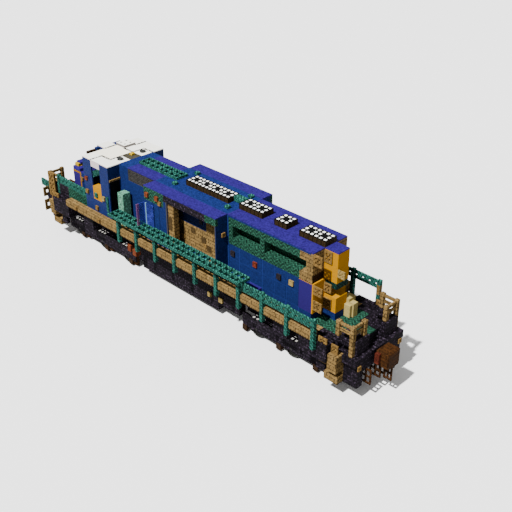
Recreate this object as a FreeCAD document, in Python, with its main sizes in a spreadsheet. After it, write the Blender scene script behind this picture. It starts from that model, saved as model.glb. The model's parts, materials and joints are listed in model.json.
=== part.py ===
"""Six-axle hood-unit diesel locomotive with a square-cut, stepped body.

The wheel flanges reach down to z = 0.  x runs along it from the cab end (-x) to the
tail (+x), y runs from the near side (-y) to the far side, and y = 0 is the centre line.
Every size is a named cell of the sheet "Sizes", in millimetres.
"""
import FreeCAD
import Part
import Sketcher
import os

from FreeCAD import Placement, Rotation, Vector

doc = FreeCAD.newDocument("Locomotive")
sheet = doc.addObject("Spreadsheet::Sheet", "Sizes")

# ---------------------------------------------------------------------------------------------
# Driving dimensions: name, value in millimetres, what it is
# ---------------------------------------------------------------------------------------------
SIZES = (
    # deck and body levels
    ("DeckUnder", 1800, "underside of the walkway deck above the rail"),
    ("DeckThickness", 300, "walkway deck"),
    ("BodyHeight", 2700, "cab and hood roofs above the deck"),
    ("NoseHeight", 1380, "short nose above the deck"),
    ("SkinThickness", 38, "painted roof covering"),
    # lengths and places along the locomotive
    ("DeckLength", 16800, "walkway deck"),
    ("EndLength", 900, "end platform beyond the deck"),
    ("EndStep", 300, "end platform below the deck"),
    ("EndThickness", 150, "end platform plate"),
    ("EndFloor", 450, "raised middle floor beyond the deck"),
    ("WellNear", 900, "step wells in the deck corners, near side"),
    ("WellFar", 300, "step wells in the deck corners, far side"),
    ("InlayDepth", 40, "floor plates let into the deck"),
    ("InlayLength", 1200, "floor plate behind the long hood"),
    ("CabFront", 5700, "cab front wall forward of the middle"),
    ("CabLength", 1800, "cab"),
    ("NoseLength", 1800, "short nose"),
    ("LinkLength", 2400, "narrow hood between cab and engine room"),
    ("RoomLength", 4200, "wide engine room"),
    ("LongLength", 4200, "long hood behind the engine room"),
    ("TailDepth", 600, "tail column behind the long hood"),
    # widths
    ("DeckWidth", 3000, "deck, cab and engine room"),
    ("HoodWidth", 1800, "narrow hoods"),
    ("ColumnWidth", 600, "tail column, roof grate and fan boxes"),
    ("WallThickness", 60, "cab and hood walls"),
    # kerbs and side rails
    ("KerbWidth", 300, "plank kerb outside the deck"),
    ("KerbHeight", 300, "plank kerb"),
    ("KerbFront", 6960, "front end of the kerbs, forward of the middle"),
    ("KerbRear", 7725, "rear end of the near kerb, behind the middle"),
    ("KerbRearFar", 6525, "rear end of the far kerb, behind the middle"),
    ("PlankLap", 30, "walkway planks running under the kerbs"),
    ("ShelfThickness", 90, "bracket shelf under a kerb"),
    ("PostWidth", 150, "rail post, square"),
    ("PostSpacing", 1200, "between side rail posts"),
    ("PostFront", 3000, "first side rail post, forward of the middle"),
    ("RailHeight", 900, "side rail above the deck"),
    ("GrateWidth", 600, "grated rail top"),
    ("GrateThickness", 112, "grated rail top"),
    ("GratePitch", 600, "one panel of a grate"),
    ("GrateRim", 55, "rim of a grate panel"),
    ("GrateCross", 50, "cross inside a grate panel"),
    ("BandWidth", 75, "rail band across the rail"),
    ("BandHeight", 340, "rail band, up and down"),
    ("BandDrop", 30, "rail band below the post tops"),
    ("BandSlot", 110, "length of a slot in the rail bands"),
    ("SlotHeight", 90, "height of a slot in the rail bands"),
    ("SlotPitch", 300, "between the slots of the rail bands"),
    ("ArmHeight", 110, "bar of the end posts, up and down"),
    ("ArmGap", 115, "between the two bars of the end posts"),
    ("LowerBand", 600, "lower front rail below the upper one"),
    ("LowerReach", 1500, "lower front rail forward of the nose rail posts"),
    # side openings
    ("WindowWidth", 600, "cab side window"),
    ("WindowHeight", 900, "cab side window"),
    ("WindowSill", 1500, "cab side window above the deck"),
    ("PanelDepth", 300, "sill panel and header under and over the window"),
    ("GlassThickness", 12, "windscreen glass"),
    ("DoorWidth", 510, "cab rear door opening"),
    ("DoorHeight", 1980, "cab rear door opening"),
    ("DoorThickness", 40, "door leaves"),
    ("DoorGap", 9, "round a door leaf"),
    ("HingeInset", 8, "hinge pin inside a leaf's face and edge"),
    ("HingeRadius", 5, "hinge pin"),
    ("HingeRoom", 0.1, "hinge pin in its hole"),
    ("HingeDepth", 25, "hinge pin beyond the opening"),
    ("BayLength", 2740, "open engine bay"),
    ("BayHeight", 2370, "open engine bay above the deck"),
    ("EngineFront", 600, "engine behind the engine room's front wall"),
    ("EngineHeight", 1500, "middle of the engine above the deck"),
    ("EngineEnds", 2280, "raised ends of the engine above the deck"),
    ("EngineDip", 1800, "lower middle of the engine, lengthwise"),
    ("EngineEnd", 600, "raised front end of the engine"),
    ("GrilleHeight", 1200, "radiator grille"),
    ("GrilleLedge", 300, "top and bottom ledges of the grille"),
    ("GrilleDepth", 450, "grille recess"),
    ("GrilleWall", 80, "grille plate"),
    ("GrillePillar", 220, "pillar at each end of a grille bay"),
    ("GrilleSlot", 900, "slot in the back of a grille bay"),
    ("GrilleSlotHeight", 150, "slot in the back of a grille bay"),
    ("GrilleSlotPlace", 660, "start of the slot behind the start of its bay"),
    ("GrilleBay", 1800, "grille bay"),
    ("PlankNotch", 300, "corner planks cut back between their ledges"),
    ("LeafWidth", 600, "pitch of the hood doors"),
    ("LeafHeight", 1140, "hood door"),
    ("LeafFoot", 330, "hood door above the deck"),
    # roof and deck fittings
    ("FanHeight", 225, "roof fan box"),
    ("VentHeight", 112, "vent box on the cab roof"),
    ("KnobRadius", 130, "round covers on the cab roof"),
    ("KnobHeight", 70, "round covers on the cab roof"),
    ("BoxHouseHeight", 600, "lamp housing over the nose"),
    ("GrateBreak", 20, "joint in the roof grate over the engine room's front wall"),
    ("TailPlate", 240, "plate under the tail column"),
    ("TailWall", 60, "wall over the foot of the hood's end"),
    ("TailFoot", 300, "base of the lower tail box"),
    ("PillarWidth", 370, "round-cornered pillar on the near walkway"),
    ("PillarHeight", 1680, "pillar on the near walkway"),
    ("PillarPlace", 600, "pillar behind the cab's rear wall"),
    ("SeatWidth", 500, "cab seat, square"),
    ("SeatPost", 150, "post under a seat"),
    ("SeatHeight", 600, "underside of a cushion above the deck"),
    ("SeatCushion", 150, "seat cushion"),
    ("SeatBack", 60, "seat back"),
    ("SeatBackHeight", 630, "seat back above its cushion"),
    ("SandWidth", 300, "taller box on the rear floor, lengthwise"),
    ("SandRear", 210, "lower box behind it, lengthwise"),
    ("SandDepth", 360, "taller box on the rear floor, crosswise"),
    ("SandHeight", 670, "taller box on the rear floor"),
    ("SandPlace", 420, "taller box behind the long hood"),
    ("SandStep", 120, "lower box below the taller one"),
    # running gear
    ("BogieFront", 5760, "front bogie pivot forward of the middle"),
    ("BogieRear", 6000, "rear bogie pivot behind the middle"),
    ("AxleSpacing", 1800, "between the axles of a bogie"),
    ("WheelRadius", 370, "wheel tread"),
    ("FlangeHeight", 27, "wheel flange beyond the tread"),
    ("FlangeWidth", 33, "wheel flange at its root"),
    ("FlangeTip", 20, "wheel flange at its edge"),
    ("HubRadius", 96, "wheel hub"),
    ("WebInset", 40, "wheel web behind the wheel face"),
    ("RimHeight", 60, "wheel rim below its tread"),
    ("WheelWidth", 135, "rim of a wheel"),
    ("BackToBack", 1360, "between the inner faces of a wheel pair"),
    ("AxleRadius", 95, "axle between the wheels"),
    ("JournalRadius", 60, "axle end in its box"),
    ("JournalClearance", 0.5, "running clearance of journals and pivots"),
    ("FrameClearance", 300, "bogie frame and fuel tank above the rail"),
    ("FrameHeight", 600, "bogie side plate"),
    ("FrameThickness", 65, "bogie side plate"),
    ("FrameEnd", 720, "side plate beyond the outer axles"),
    ("InnerPlace", 630, "inner frame plates from the centre line"),
    ("InnerThickness", 60, "inner frame plates"),
    ("InnerTop", 1100, "top of the inner frame plates above the rail"),
    ("BoxWidth", 600, "spring box along the bogie"),
    ("BoxHeight", 225, "spring box"),
    ("BoxDepth", 560, "spring box across the bogie"),
    ("BoxSeat", 300, "seat of a spring box below the top of its side plate"),
    ("WheelRoom", 8, "space over a flange inside its spring box"),
    ("ShoeWidth", 240, "brake shoe along the bogie"),
    ("ShoeThickness", 120, "brake shoe across the bogie"),
    ("ShoeUnder", 120, "underside of the brake shoes above the rail"),
    ("ShoePlace", 600, "brake shoe from its axle"),
    ("TransomWidth", 260, "cross beam of a bogie"),
    ("PivotRadius", 180, "centre pin"),
    ("PivotDrop", 250, "centre pin below the bolster"),
    ("BolsterUnder", 1150, "underside of the body bolsters above the rail"),
    ("BolsterGap", 10, "bogie centre clear of the body bolster"),
    ("BolsterLength", 700, "body bolster"),
    ("SillWidth", 600, "centre sill"),
    ("BeamWidth", 540, "bogie beam under the centre sill"),
    ("SillUnder", 1300, "underside of the centre sill above the rail"),
    ("TankFront", 3000, "fuel tank, forward of the middle"),
    ("TankRear", 2400, "fuel tank, behind the middle"),
    ("TankStep", 300, "stepped lower edge of the tank ends"),
    # ends
    ("PilotThickness", 600, "pilot plate"),
    ("PilotWidth", 2400, "pilot plate and end platform"),
    ("LedgeWidth", 2700, "thicker upper edge of the pilot"),
    ("LedgeHeight", 300, "thicker upper edge of the pilot"),
    ("EndWallPlace", 450, "end walls beyond the deck"),
    ("EndWallDepth", 300, "end walls along the locomotive"),
    ("EndWallHeight", 600, "end walls above the platform"),
    ("GangwayWidth", 900, "opening between the end walls"),
    ("ArmLength", 375, "side arms of the end walls"),
    ("ArmRise", 230, "side arms of the end walls above the deck"),
    ("FlapWidth", 470, "flap hanging on the pilot"),
    ("FlapPlace", 132, "inner flap from the centre line"),
    ("FlapThickness", 50, "flap hanging on the pilot"),
    ("FlapRim", 60, "rim of a flap round its openings"),
    ("FlapPitch", 546, "outer flap from the inner one"),
    ("FlapReach", 210, "flap beyond the end face"),
    ("HeadFlapWidth", 355, "flap under a coupler head, from its face"),
    ("HeadFlapInset", 18, "flap behind the coupler face"),
    ("PilotClearance", 600, "pilot plate above the rail"),
    ("CouplerReach", 600, "coupler head beyond the pilot"),
    ("CouplerWidth", 580, "coupler head"),
    ("CouplerLevel", 1500, "coupler above the rail"),
    ("HeadGap", 60, "coupler head clear of the pilot"),
    ("SlotRoom", 120, "pilot slot beside the coupler shank"),
    ("ShankWidth", 180, "coupler shank"),
    ("ShankHeight", 150, "coupler shank"),
    ("ShankPin", 45, "coupler pin radius"),
    ("PinPlace", 150, "coupler pin beyond the deck's end"),
    ("StepWidth", 600, "lower step tread along the locomotive"),
    ("StepRise", 300, "lower step tread"),
    ("UpperTread", 400, "upper step tread, up and down"),
    ("UpperFront", 390, "upper step tread inside the deck's end"),
    ("UpperOut", 120, "upper step tread beyond the deck's edge"),
    ("PilotRise", 600, "opening between the corner blocks of a pilot"),
    ("StepPlate", 60, "plate that carries the treads"),
)

for row, (name, amount, meaning) in enumerate(SIZES, start=1):
    sheet.set(f"A{row}", name)
    sheet.set(f"B{row}", str(amount))
    sheet.set(f"C{row}", meaning)
    sheet.setAlias(f"B{row}", name)
doc.recompute()


class Size:
    """A length that carries both its number and the sheet expression that gives it."""

    def __init__(self, value, text):
        self.value = float(value)
        self.text = text

    @staticmethod
    def of(other):
        if isinstance(other, Size):
            return other
        return Size(other, f"({float(other):.6f})")

    def __add__(self, other):
        other = Size.of(other)
        return Size(self.value + other.value, f"({self.text} + {other.text})")

    def __radd__(self, other):
        return Size.of(other) + self

    def __sub__(self, other):
        other = Size.of(other)
        return Size(self.value - other.value, f"({self.text} - {other.text})")

    def __rsub__(self, other):
        return Size.of(other) - self

    def __mul__(self, factor):
        factor = Size.of(factor)
        return Size(self.value * factor.value, f"({self.text} * {factor.text})")

    def __rmul__(self, factor):
        return self * factor

    def __truediv__(self, divisor):
        divisor = Size.of(divisor)
        return Size(self.value / divisor.value, f"({self.text} / {divisor.text})")

    def __neg__(self):
        return Size(-self.value, f"(0 - {self.text})")


S = {name: Size(sheet.get(name), f"Sizes.{name}") for name, _, _ in SIZES}

# ---------------------------------------------------------------------------------------------
# Feature helpers
# ---------------------------------------------------------------------------------------------
NORMALS = {"XY": 1, "XZ": -1, "YZ": 1}


def new_body(label):
    """A PartDesign body whose label names its file."""
    body = doc.addObject("PartDesign::Body", label)
    body.Label = label
    body.AllowCompound = True
    return body


def base_plane(body, role):
    return next(item for item in body.Origin.OriginFeatures if item.Role == role + "_Plane")


def base_axis(body, role):
    return next(item for item in body.Origin.OriginFeatures if item.Role == role + "_Axis")


def hold(sketch, kind, geometry, place, distance):
    """Ties one point of a sketch to the origin by a distance from the sheet."""
    distance = Size.of(distance)
    number = sketch.addConstraint(
        Sketcher.Constraint(kind, -1, 1, geometry, place, distance.value))
    sketch.setExpression(f"Constraints[{number}]", distance.text)


def draw(body, plane, outlines, offset):
    """A sketch of closed outlines: corner lists, or (centre a, centre b, radius) circles."""
    sketch = body.newObject("Sketcher::SketchObject", body.Label + "_sketch")
    sketch.AttachmentSupport = (base_plane(body, plane), "")
    sketch.MapMode = "FlatFace"
    offset = Size.of(offset) * NORMALS[plane]
    sketch.AttachmentOffset = Placement(Vector(0, 0, offset.value), Rotation())
    sketch.setExpression("AttachmentOffset.Base.z", offset.text)
    for outline in outlines:
        if isinstance(outline, tuple):
            across, up, radius = (Size.of(item) for item in outline)
            circle = sketch.addGeometry(
                Part.Circle(Vector(across.value, up.value, 0), Vector(0, 0, 1), radius.value))
            hold(sketch, "DistanceX", circle, 3, across)
            hold(sketch, "DistanceY", circle, 3, up)
            number = sketch.addConstraint(Sketcher.Constraint("Radius", circle, radius.value))
            sketch.setExpression(f"Constraints[{number}]", radius.text)
            continue
        corners = [(Size.of(a), Size.of(b)) for a, b in outline]
        points = [Vector(a.value, b.value, 0) for a, b in corners]
        first = sketch.GeometryCount
        for here, there in zip(points, points[1:] + points[:1]):
            sketch.addGeometry(Part.LineSegment(here, there))
        count = len(points)
        for side in range(count):
            sketch.addConstraint(Sketcher.Constraint(
                "Coincident", first + side, 2, first + (side + 1) % count, 1))
        for side, (a, b) in enumerate(corners):
            hold(sketch, "DistanceX", first + side, 1, a)
            hold(sketch, "DistanceY", first + side, 1, b)
    return sketch


def pad(body, plane, outlines, low, high):
    """Adds material between two offsets along the plane's own axis."""
    low, high = Size.of(low), Size.of(high)
    start = low if NORMALS[plane] > 0 else high
    feature = body.newObject("PartDesign::Pad", body.Label + "_pad")
    feature.Profile = draw(body, plane, outlines, start)
    length = high - low
    feature.Length = length.value
    feature.setExpression("Length", length.text)
    return feature


def cut(body, plane, outlines, low, high):
    """Takes material away between two offsets along the plane's own axis."""
    low, high = Size.of(low), Size.of(high)
    start = high if NORMALS[plane] > 0 else low
    feature = body.newObject("PartDesign::Pocket", body.Label + "_cut")
    feature.Profile = draw(body, plane, outlines, start)
    length = high - low
    feature.Length = length.value
    feature.setExpression("Length", length.text)
    return feature


def row_of(body, features, axis, step, count):
    """Repeats features along an axis."""
    pattern = body.newObject("PartDesign::LinearPattern", body.Label + "_row")
    pattern.Originals = features
    pattern.Direction = (base_axis(body, axis), [""])
    reach = Size.of(step) * (count - 1)
    pattern.Length = reach.value
    pattern.setExpression("Length", reach.text)
    pattern.Occurrences = count
    body.Tip = pattern
    return pattern


def both_sides(body, features, plane="XZ"):
    """Mirrors features to the other side of the locomotive."""
    mirror = body.newObject("PartDesign::Mirrored", body.Label + "_mirror")
    mirror.Originals = features
    mirror.MirrorPlane = (base_plane(body, plane), [""])
    body.Tip = mirror
    return mirror


def rect(a0, b0, a1, b1):
    return [(a0, b0), (a1, b0), (a1, b1), (a0, b1)]


# ---------------------------------------------------------------------------------------------
# Levels and places that several pieces share
# ---------------------------------------------------------------------------------------------
deck_top = S["DeckUnder"] + S["DeckThickness"]
roof = deck_top + S["BodyHeight"]
skin_under = roof - S["SkinThickness"]
half_deck = S["DeckLength"] / 2
half_width = S["DeckWidth"] / 2
half_hood = S["HoodWidth"] / 2
half_column = S["ColumnWidth"] / 2
wall = S["WallThickness"]
cab_front = -S["CabFront"]
cab_rear = cab_front + S["CabLength"]
nose_front = cab_front - S["NoseLength"]
room_front = cab_rear + S["LinkLength"]
room_rear = room_front + S["RoomLength"]
long_rear = room_rear + S["LongLength"]
tail_end = long_rear + S["TailDepth"]
platform_top = deck_top - S["EndStep"]
platform_under = platform_top - S["EndThickness"]
end_face = half_deck + S["EndLength"]
pilot_inner = end_face - S["PilotThickness"]
pilot_low = S["PilotClearance"] + S["PilotRise"]
kerb_top = deck_top + S["KerbHeight"]
kerb_outer = half_width + S["KerbWidth"]
rail_top = deck_top + S["RailHeight"]
post_half = S["PostWidth"] / 2
frame_top = S["FrameClearance"] + S["FrameHeight"]
axle_level = S["WheelRadius"] + S["FlangeHeight"]
well_line = S["PilotWidth"] / 2
band_top = rail_top - S["BandDrop"]
band_low = band_top - S["BandHeight"]
door_outer = half_width - wall
door_inner = door_outer - S["DoorWidth"]
door_top = deck_top + S["DoorHeight"]
cab_hinge_x = cab_rear - wall / 2 - S["DoorThickness"] / 2 + S["HingeInset"]
cab_hinge_y = door_outer - S["DoorGap"] - S["HingeInset"]


POSTS = 10
BARRED_BAYS = 3
GRATE_PANELS = 13
POSTS_END = S["PostSpacing"] * (POSTS - 1) - S["PostFront"]

# the plate behind the long hood has a narrow tongue between the end walls
floor_plate_low = deck_top - S["InlayDepth"]
floor_corner = long_rear + S["InlayLength"]
tongue_end = half_deck + S["EndFloor"]
floor_outline = [(long_rear, -half_hood), (floor_corner, -half_hood),
                 (floor_corner, -half_column), (tongue_end, -half_column),
                 (tongue_end, half_column), (floor_corner, half_column),
                 (floor_corner, half_hood), (long_rear, half_hood)]


# ---------------------------------------------------------------------------------------------
# Underframe, tank, ends
# ---------------------------------------------------------------------------------------------
def underframe():
    body = new_body("underframe")
    near = half_deck - S["WellNear"]
    far = half_deck - S["WellFar"]
    # the deck's corners are cut back for the steps
    pad(body, "XY", [[(-half_deck, -well_line), (-near, -well_line), (-near, -half_width),
                      (near, -half_width), (near, -well_line), (half_deck, -well_line),
                      (half_deck, well_line), (far, well_line), (far, half_width),
                      (-far, half_width), (-far, well_line), (-half_deck, well_line)]],
        S["DeckUnder"], deck_top)
    floor_end = half_deck + S["EndFloor"]
    pad(body, "XY", [rect(-floor_end, -half_hood, floor_end, half_hood)], S["DeckUnder"], deck_top)
    sill = S["SillWidth"] / 2
    pad(body, "XY", [rect(-half_deck, -sill, half_deck, sill)], S["SillUnder"], S["DeckUnder"])
    shelf = kerb_outer - post_half
    shelf_low = deck_top - S["ShelfThickness"]
    last_post = POSTS_END - post_half
    pad(body, "XY", [rect(-S["KerbFront"], -shelf, POSTS_END + post_half, -half_width),
                     rect(-S["KerbFront"], half_width, S["KerbRearFar"], shelf),
                     rect(last_post, half_width, POSTS_END + post_half, shelf)],
        shelf_low, deck_top)
    for centre in (-S["BogieFront"], S["BogieRear"]):
        half = S["BolsterLength"] / 2
        pad(body, "XY", [rect(centre - half, -half_width, centre + half, half_width)],
            S["SillUnder"], S["DeckUnder"])
        pad(body, "XY", [rect(centre - half, -half_hood, centre + half, half_hood)],
            S["BolsterUnder"], S["SillUnder"])
        pad(body, "XY", [(centre, 0, S["PivotRadius"])],
            S["BolsterUnder"] - S["PivotDrop"], S["BolsterUnder"])
    hole = S["HingeRadius"] + S["HingeRoom"]
    cut(body, "XY", [(cab_hinge_x, cab_hinge_y, hole), (cab_hinge_x, -cab_hinge_y, hole)],
        deck_top - S["HingeDepth"], deck_top)
    cut(body, "XY", [floor_outline], floor_plate_low, deck_top)
    plank_inner, plank_outer = half_hood, half_width + S["PlankLap"]
    cut(body, "XY", [rect(room_rear, -plank_outer, near, -plank_inner),
                     rect(room_rear, plank_inner, near, plank_outer)], floor_plate_low, deck_top)
    return body


def span(near, far, side):
    """Two places along the locomotive, in rising order, at its tail or its cab end."""
    return (near, far) if side > 0 else (-far, -near)


def pilot(label, side):
    body = new_body(label)
    slot = S["ShankWidth"] / 2 + S["SlotRoom"]
    slot_low = S["CouplerLevel"] - S["SlotRoom"]
    low, high = span(half_deck, end_face, side)
    pad(body, "XY", [rect(low, -well_line, high, well_line)], platform_under, platform_top)
    low, high = span(half_deck - S["WellFar"], half_deck, side)
    pad(body, "XY", [rect(low, S["SillWidth"] / 2, high, well_line),
                     rect(low, -well_line, high, -S["SillWidth"] / 2)],
        platform_under, platform_top)
    low, high = span(pilot_inner, end_face, side)
    half_ledge = S["LedgeWidth"] / 2
    ledge = platform_top - S["LedgeHeight"]
    foot = S["PilotClearance"]
    pad(body, "YZ", [[(-well_line, foot), (-half_hood, foot), (-half_hood, pilot_low),
                      (half_hood, pilot_low), (half_hood, foot), (well_line, foot),
                      (well_line, ledge), (half_ledge, ledge), (half_ledge, platform_top),
                      (well_line, platform_top), (well_line, platform_under),
                      (slot, platform_under), (slot, slot_low),
                      (-slot, slot_low), (-slot, platform_under),
                      (-well_line, platform_under), (-well_line, platform_top),
                      (-half_ledge, platform_top), (-half_ledge, ledge), (-well_line, ledge)]],
        low, high)
    low, high = span(half_deck, pilot_inner, side)
    pad(body, "XY", [rect(low, -slot, high, slot)],
        S["SillUnder"] - S["EndThickness"] / 2, S["SillUnder"])
    pin = (half_deck + S["PinPlace"]) * side
    pad(body, "XY", [(pin, 0, S["ShankPin"])], S["SillUnder"], platform_under)
    # low walls beside the gangway, with an arm along each side of the platform
    wall_front = half_deck + S["EndWallPlace"]
    low, high = span(wall_front, wall_front + S["EndWallDepth"], side)
    wall_outer = well_line - post_half
    walls = pad(body, "XY", [rect(low, S["GangwayWidth"] / 2, high, wall_outer)],
                platform_top, platform_top + S["EndWallHeight"])
    low, high = span(wall_front - S["ArmLength"], wall_front + S["BandWidth"] / 2, side)
    arm = pad(body, "XY", [rect(low, wall_outer - post_half, high, well_line)],
              deck_top, deck_top + S["ArmRise"])
    both_sides(body, [walls, arm])
    return body


def flap_outlines(front, rear, foot, top):
    """A flap with four openings round its cross."""
    rim = S["FlapRim"]
    found = [rect(front, foot, rear, top)]
    wide, tall = (rear - front - rim * 3) / 2, (top - foot - rim * 3) / 2
    for a in (front + rim, rear - rim - wide):
        for b in (foot + rim, top - rim - tall):
            found.append(rect(a, b, a + wide, b + tall))
    return found


def pilot_flaps():
    """Upright plates that hang in line with the track between the corner blocks."""
    body = new_body("pilot_flaps")
    made = []
    rear = end_face + S["FlapReach"]
    half = S["FlapThickness"] / 2
    for side in (-1, 1):
        low, high = span(rear - S["FlapWidth"], rear, side)
        for place in (S["FlapPlace"], S["FlapPlace"] + S["FlapPitch"]):
            made.append(pad(body, "XZ", flap_outlines(low, high, S["PilotClearance"], pilot_low),
                            place - half, place + half))
    both_sides(body, made)
    return body


def coupler(label, side):
    body = new_body(label)
    pin = (half_deck + S["PinPlace"]) * side
    half_head = S["CouplerWidth"] / 2
    half_shank = S["ShankWidth"] / 2
    head_front = end_face + S["CouplerReach"]
    eye = half_deck + S["PinPlace"] - S["ShankPin"] * 2
    low, high = span(eye, end_face + S["HeadGap"], side)
    pad(body, "XY", [rect(low, -half_shank, high, half_shank),
                     (pin, 0, S["ShankPin"] + S["JournalClearance"])],
        S["CouplerLevel"] - S["ShankHeight"] / 2, S["CouplerLevel"] + S["ShankHeight"] / 2)
    low, high = span(end_face + S["HeadGap"], head_front, side)
    head_low = S["CouplerLevel"] - half_head
    pad(body, "XY", [rect(low, -half_head, high, half_head)],
        head_low, S["CouplerLevel"] + half_head)
    low, high = span(head_front - S["HeadFlapWidth"], head_front - S["HeadFlapInset"], side)
    half = S["FlapThickness"] / 2
    pad(body, "XZ", flap_outlines(low, high, S["PilotClearance"], head_low), -half, half)
    return body


def fuel_tank():
    body = new_body("fuel_tank")
    low, high, step = -S["TankFront"], S["TankRear"], S["TankStep"]
    foot = S["FrameClearance"]
    pad(body, "XZ", [[(low + step, foot), (high - step, foot), (high - step, foot + step),
                      (high, foot + step), (high, S["SillUnder"]), (low, S["SillUnder"]),
                      (low, foot + step), (low + step, foot + step)]],
        -half_hood, half_hood)
    return body


def steps():
    """Two treads on an upright plate at each corner, below the deck."""
    body = new_body("cab_steps")
    inner = well_line - S["StepPlate"]
    foot = S["PilotClearance"]
    tread_top = platform_top - S["LedgeHeight"]
    made = []
    for side in (-1, 1):
        low, high = span(pilot_inner - S["StepWidth"], pilot_inner, side)
        made.append(pad(body, "XZ", [rect(low, foot, high, foot + S["StepRise"])],
                        inner, half_width))
        low, high = span(pilot_inner - S["StepWidth"] / 2, pilot_inner, side)
        made.append(pad(body, "XZ", [rect(low, foot, high, platform_under)], inner, well_line))
        low, high = span(pilot_inner - S["UpperFront"], pilot_inner, side)
        made.append(pad(body, "XZ", [rect(low, tread_top - S["UpperTread"], high, tread_top)],
                        inner, half_width + S["UpperOut"]))
    both_sides(body, made)
    return body


# ---------------------------------------------------------------------------------------------
# Kerbs and rails
# ---------------------------------------------------------------------------------------------
def kerbs():
    body = new_body("plank_kerbs")
    pad(body, "XY", [rect(-S["KerbFront"], half_width, S["KerbRearFar"], kerb_outer),
                     rect(-S["KerbFront"], -kerb_outer, S["KerbRear"], -half_width)],
        deck_top, kerb_top)
    rear, lap = half_deck - S["WellNear"], half_width + S["PlankLap"]
    pad(body, "XY", [rect(room_rear, -lap, rear, -half_hood), rect(room_rear, half_hood, rear, lap)],
        floor_plate_low, deck_top)
    low, high = -S["PostFront"] - post_half, -S["PostFront"] + post_half
    notch = cut(body, "XY", [rect(low, kerb_outer - post_half, high, kerb_outer),
                             rect(low, -kerb_outer, high, post_half - kerb_outer)],
                deck_top, kerb_top)
    # each post but the last stands half sunk in a notch of the kerb
    row_of(body, [notch], "X", S["PostSpacing"], POSTS - 1)
    return body


def tail_floor():
    body = new_body("tail_floor")
    pad(body, "XY", [floor_outline], floor_plate_low, deck_top)
    return body


def grate_openings(front, across, panel):
    """Four openings of one grate panel round its cross."""
    rim, arm = S["GrateRim"], S["GrateCross"] / 2
    half = panel / 2
    found = []
    for a, b in ((front + rim, front + half - arm), (front + half + arm, front + panel - rim)):
        for c, d in ((across - half + rim, across - arm), (across + arm, across + half - rim)):
            found.append(rect(a, c, b, d))
    return found


def slotted_band(body, front, rear, middle, top, slots):
    """An upright rail band with a row of slots."""
    half = S["BandWidth"] / 2
    low = top - S["BandHeight"]
    pad(body, "XY", [rect(front, middle - half, rear, middle + half)], low, top)
    place = front + (S["SlotPitch"] - S["BandSlot"]) / 2
    level = low + (S["BandHeight"] - S["SlotHeight"]) / 2
    slot = cut(body, "XZ", [rect(place, level, place + S["BandSlot"], level + S["SlotHeight"])],
               middle - half, middle + half)
    row_of(body, [slot], "X", S["SlotPitch"], slots)


def side_rail(label, side):
    body = new_body(label)
    middle = kerb_outer * side
    low, high = middle - post_half, middle + post_half
    post = pad(body, "XY", [rect(-S["PostFront"] - post_half, low,
                                 -S["PostFront"] + post_half, high)], S["DeckUnder"], rail_top)
    row_of(body, [post], "X", S["PostSpacing"], POSTS)
    half = S["GrateWidth"] / 2
    front = -S["PostFront"] - half
    pad(body, "XY", [rect(front, middle - half, front + S["GratePitch"] * GRATE_PANELS,
                          middle + half)], rail_top, rail_top + S["GrateThickness"])
    panel = cut(body, "XY", grate_openings(front, middle, S["GratePitch"]),
                rail_top, rail_top + S["GrateThickness"])
    row_of(body, [panel], "X", S["GratePitch"], GRATE_PANELS)
    first = POSTS_END - S["PostSpacing"] * BARRED_BAYS
    slotted_band(body, first, POSTS_END, middle, band_top, 12)
    return body


def end_rails():
    body = new_body("end_posts")
    middle = well_line
    top = platform_top + S["PostSpacing"]
    half_bar = S["BandWidth"] / 2
    reach = S["PostSpacing"] / 2
    wall_top = platform_top + S["EndWallHeight"]
    made = []
    for side in (-1, 1):
        place = (end_face - S["PilotThickness"] / 2) * side
        front, rear = place - post_half, place + post_half
        made.append(pad(body, "XY", [rect(front, middle - post_half, rear, middle + post_half)],
                        platform_top, top))
        made.append(pad(body, "XY", [rect(front, middle - reach - post_half,
                                          rear, middle - reach + post_half)], wall_top, top))
        inner = place - reach * side
        if side > 0:
            made.append(pad(body, "XY", [rect(inner - post_half, middle - post_half,
                                              inner + post_half, middle + post_half)],
                            wall_top, top))
        low, high = (inner, place) if side > 0 else (place, inner)
        bar_top = top - S["BandDrop"]
        for _ in range(2):
            made.append(pad(body, "XY", [rect(low, middle - half_bar, high, middle + half_bar)],
                            bar_top - S["ArmHeight"], bar_top))
            made.append(pad(body, "XY", [rect(place - half_bar, middle - reach,
                                              place + half_bar, middle)],
                            bar_top - S["ArmHeight"], bar_top))
            bar_top = bar_top - S["ArmHeight"] - S["ArmGap"]
    both_sides(body, made)
    return body


def nose_rails():
    """Slotted rails beside the nose, and lower ones that run out ahead of the front posts."""
    body = new_body("nose_rails")
    lower_front = -half_deck - S["LowerReach"]
    for middle in (-well_line, well_line):
        slotted_band(body, -half_deck, cab_front, middle, band_top, 9)
        pad(body, "XY", [rect(-half_deck, middle - post_half, post_half * 2 - half_deck,
                              middle + post_half)], deck_top, rail_top)
        slotted_band(body, lower_front, S["PilotThickness"] / 2 - end_face - post_half, middle,
                     band_top - S["LowerBand"], 2)
    return body


def nose_walls():
    body = new_body("nose_walls")
    low = post_half * 2 - half_deck
    pad(body, "XY", [rect(low, well_line - post_half, cab_front, well_line + post_half),
                     rect(low, -well_line - post_half, cab_front, post_half - well_line)],
        deck_top, band_low)
    return body


# ---------------------------------------------------------------------------------------------
# Body
# ---------------------------------------------------------------------------------------------
def shell(label, front, rear, half, floor, top):
    """Four walls, open above and below, as thick as a wall."""
    body = new_body(label)
    pad(body, "XY", [rect(front, -half, rear, half),
                     rect(front + wall, -half + wall, rear - wall, half - wall)], floor, top)
    return body


window_front = cab_front + (S["CabLength"] - S["WindowWidth"]) / 2
window_rear = window_front + S["WindowWidth"]
window_low = deck_top + S["WindowSill"]
window_high = window_low + S["WindowHeight"]
panel_low = window_low - S["WindowWidth"]
screen_low = deck_top + S["WindowSill"] + wall
screen_high = skin_under - wall


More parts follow.
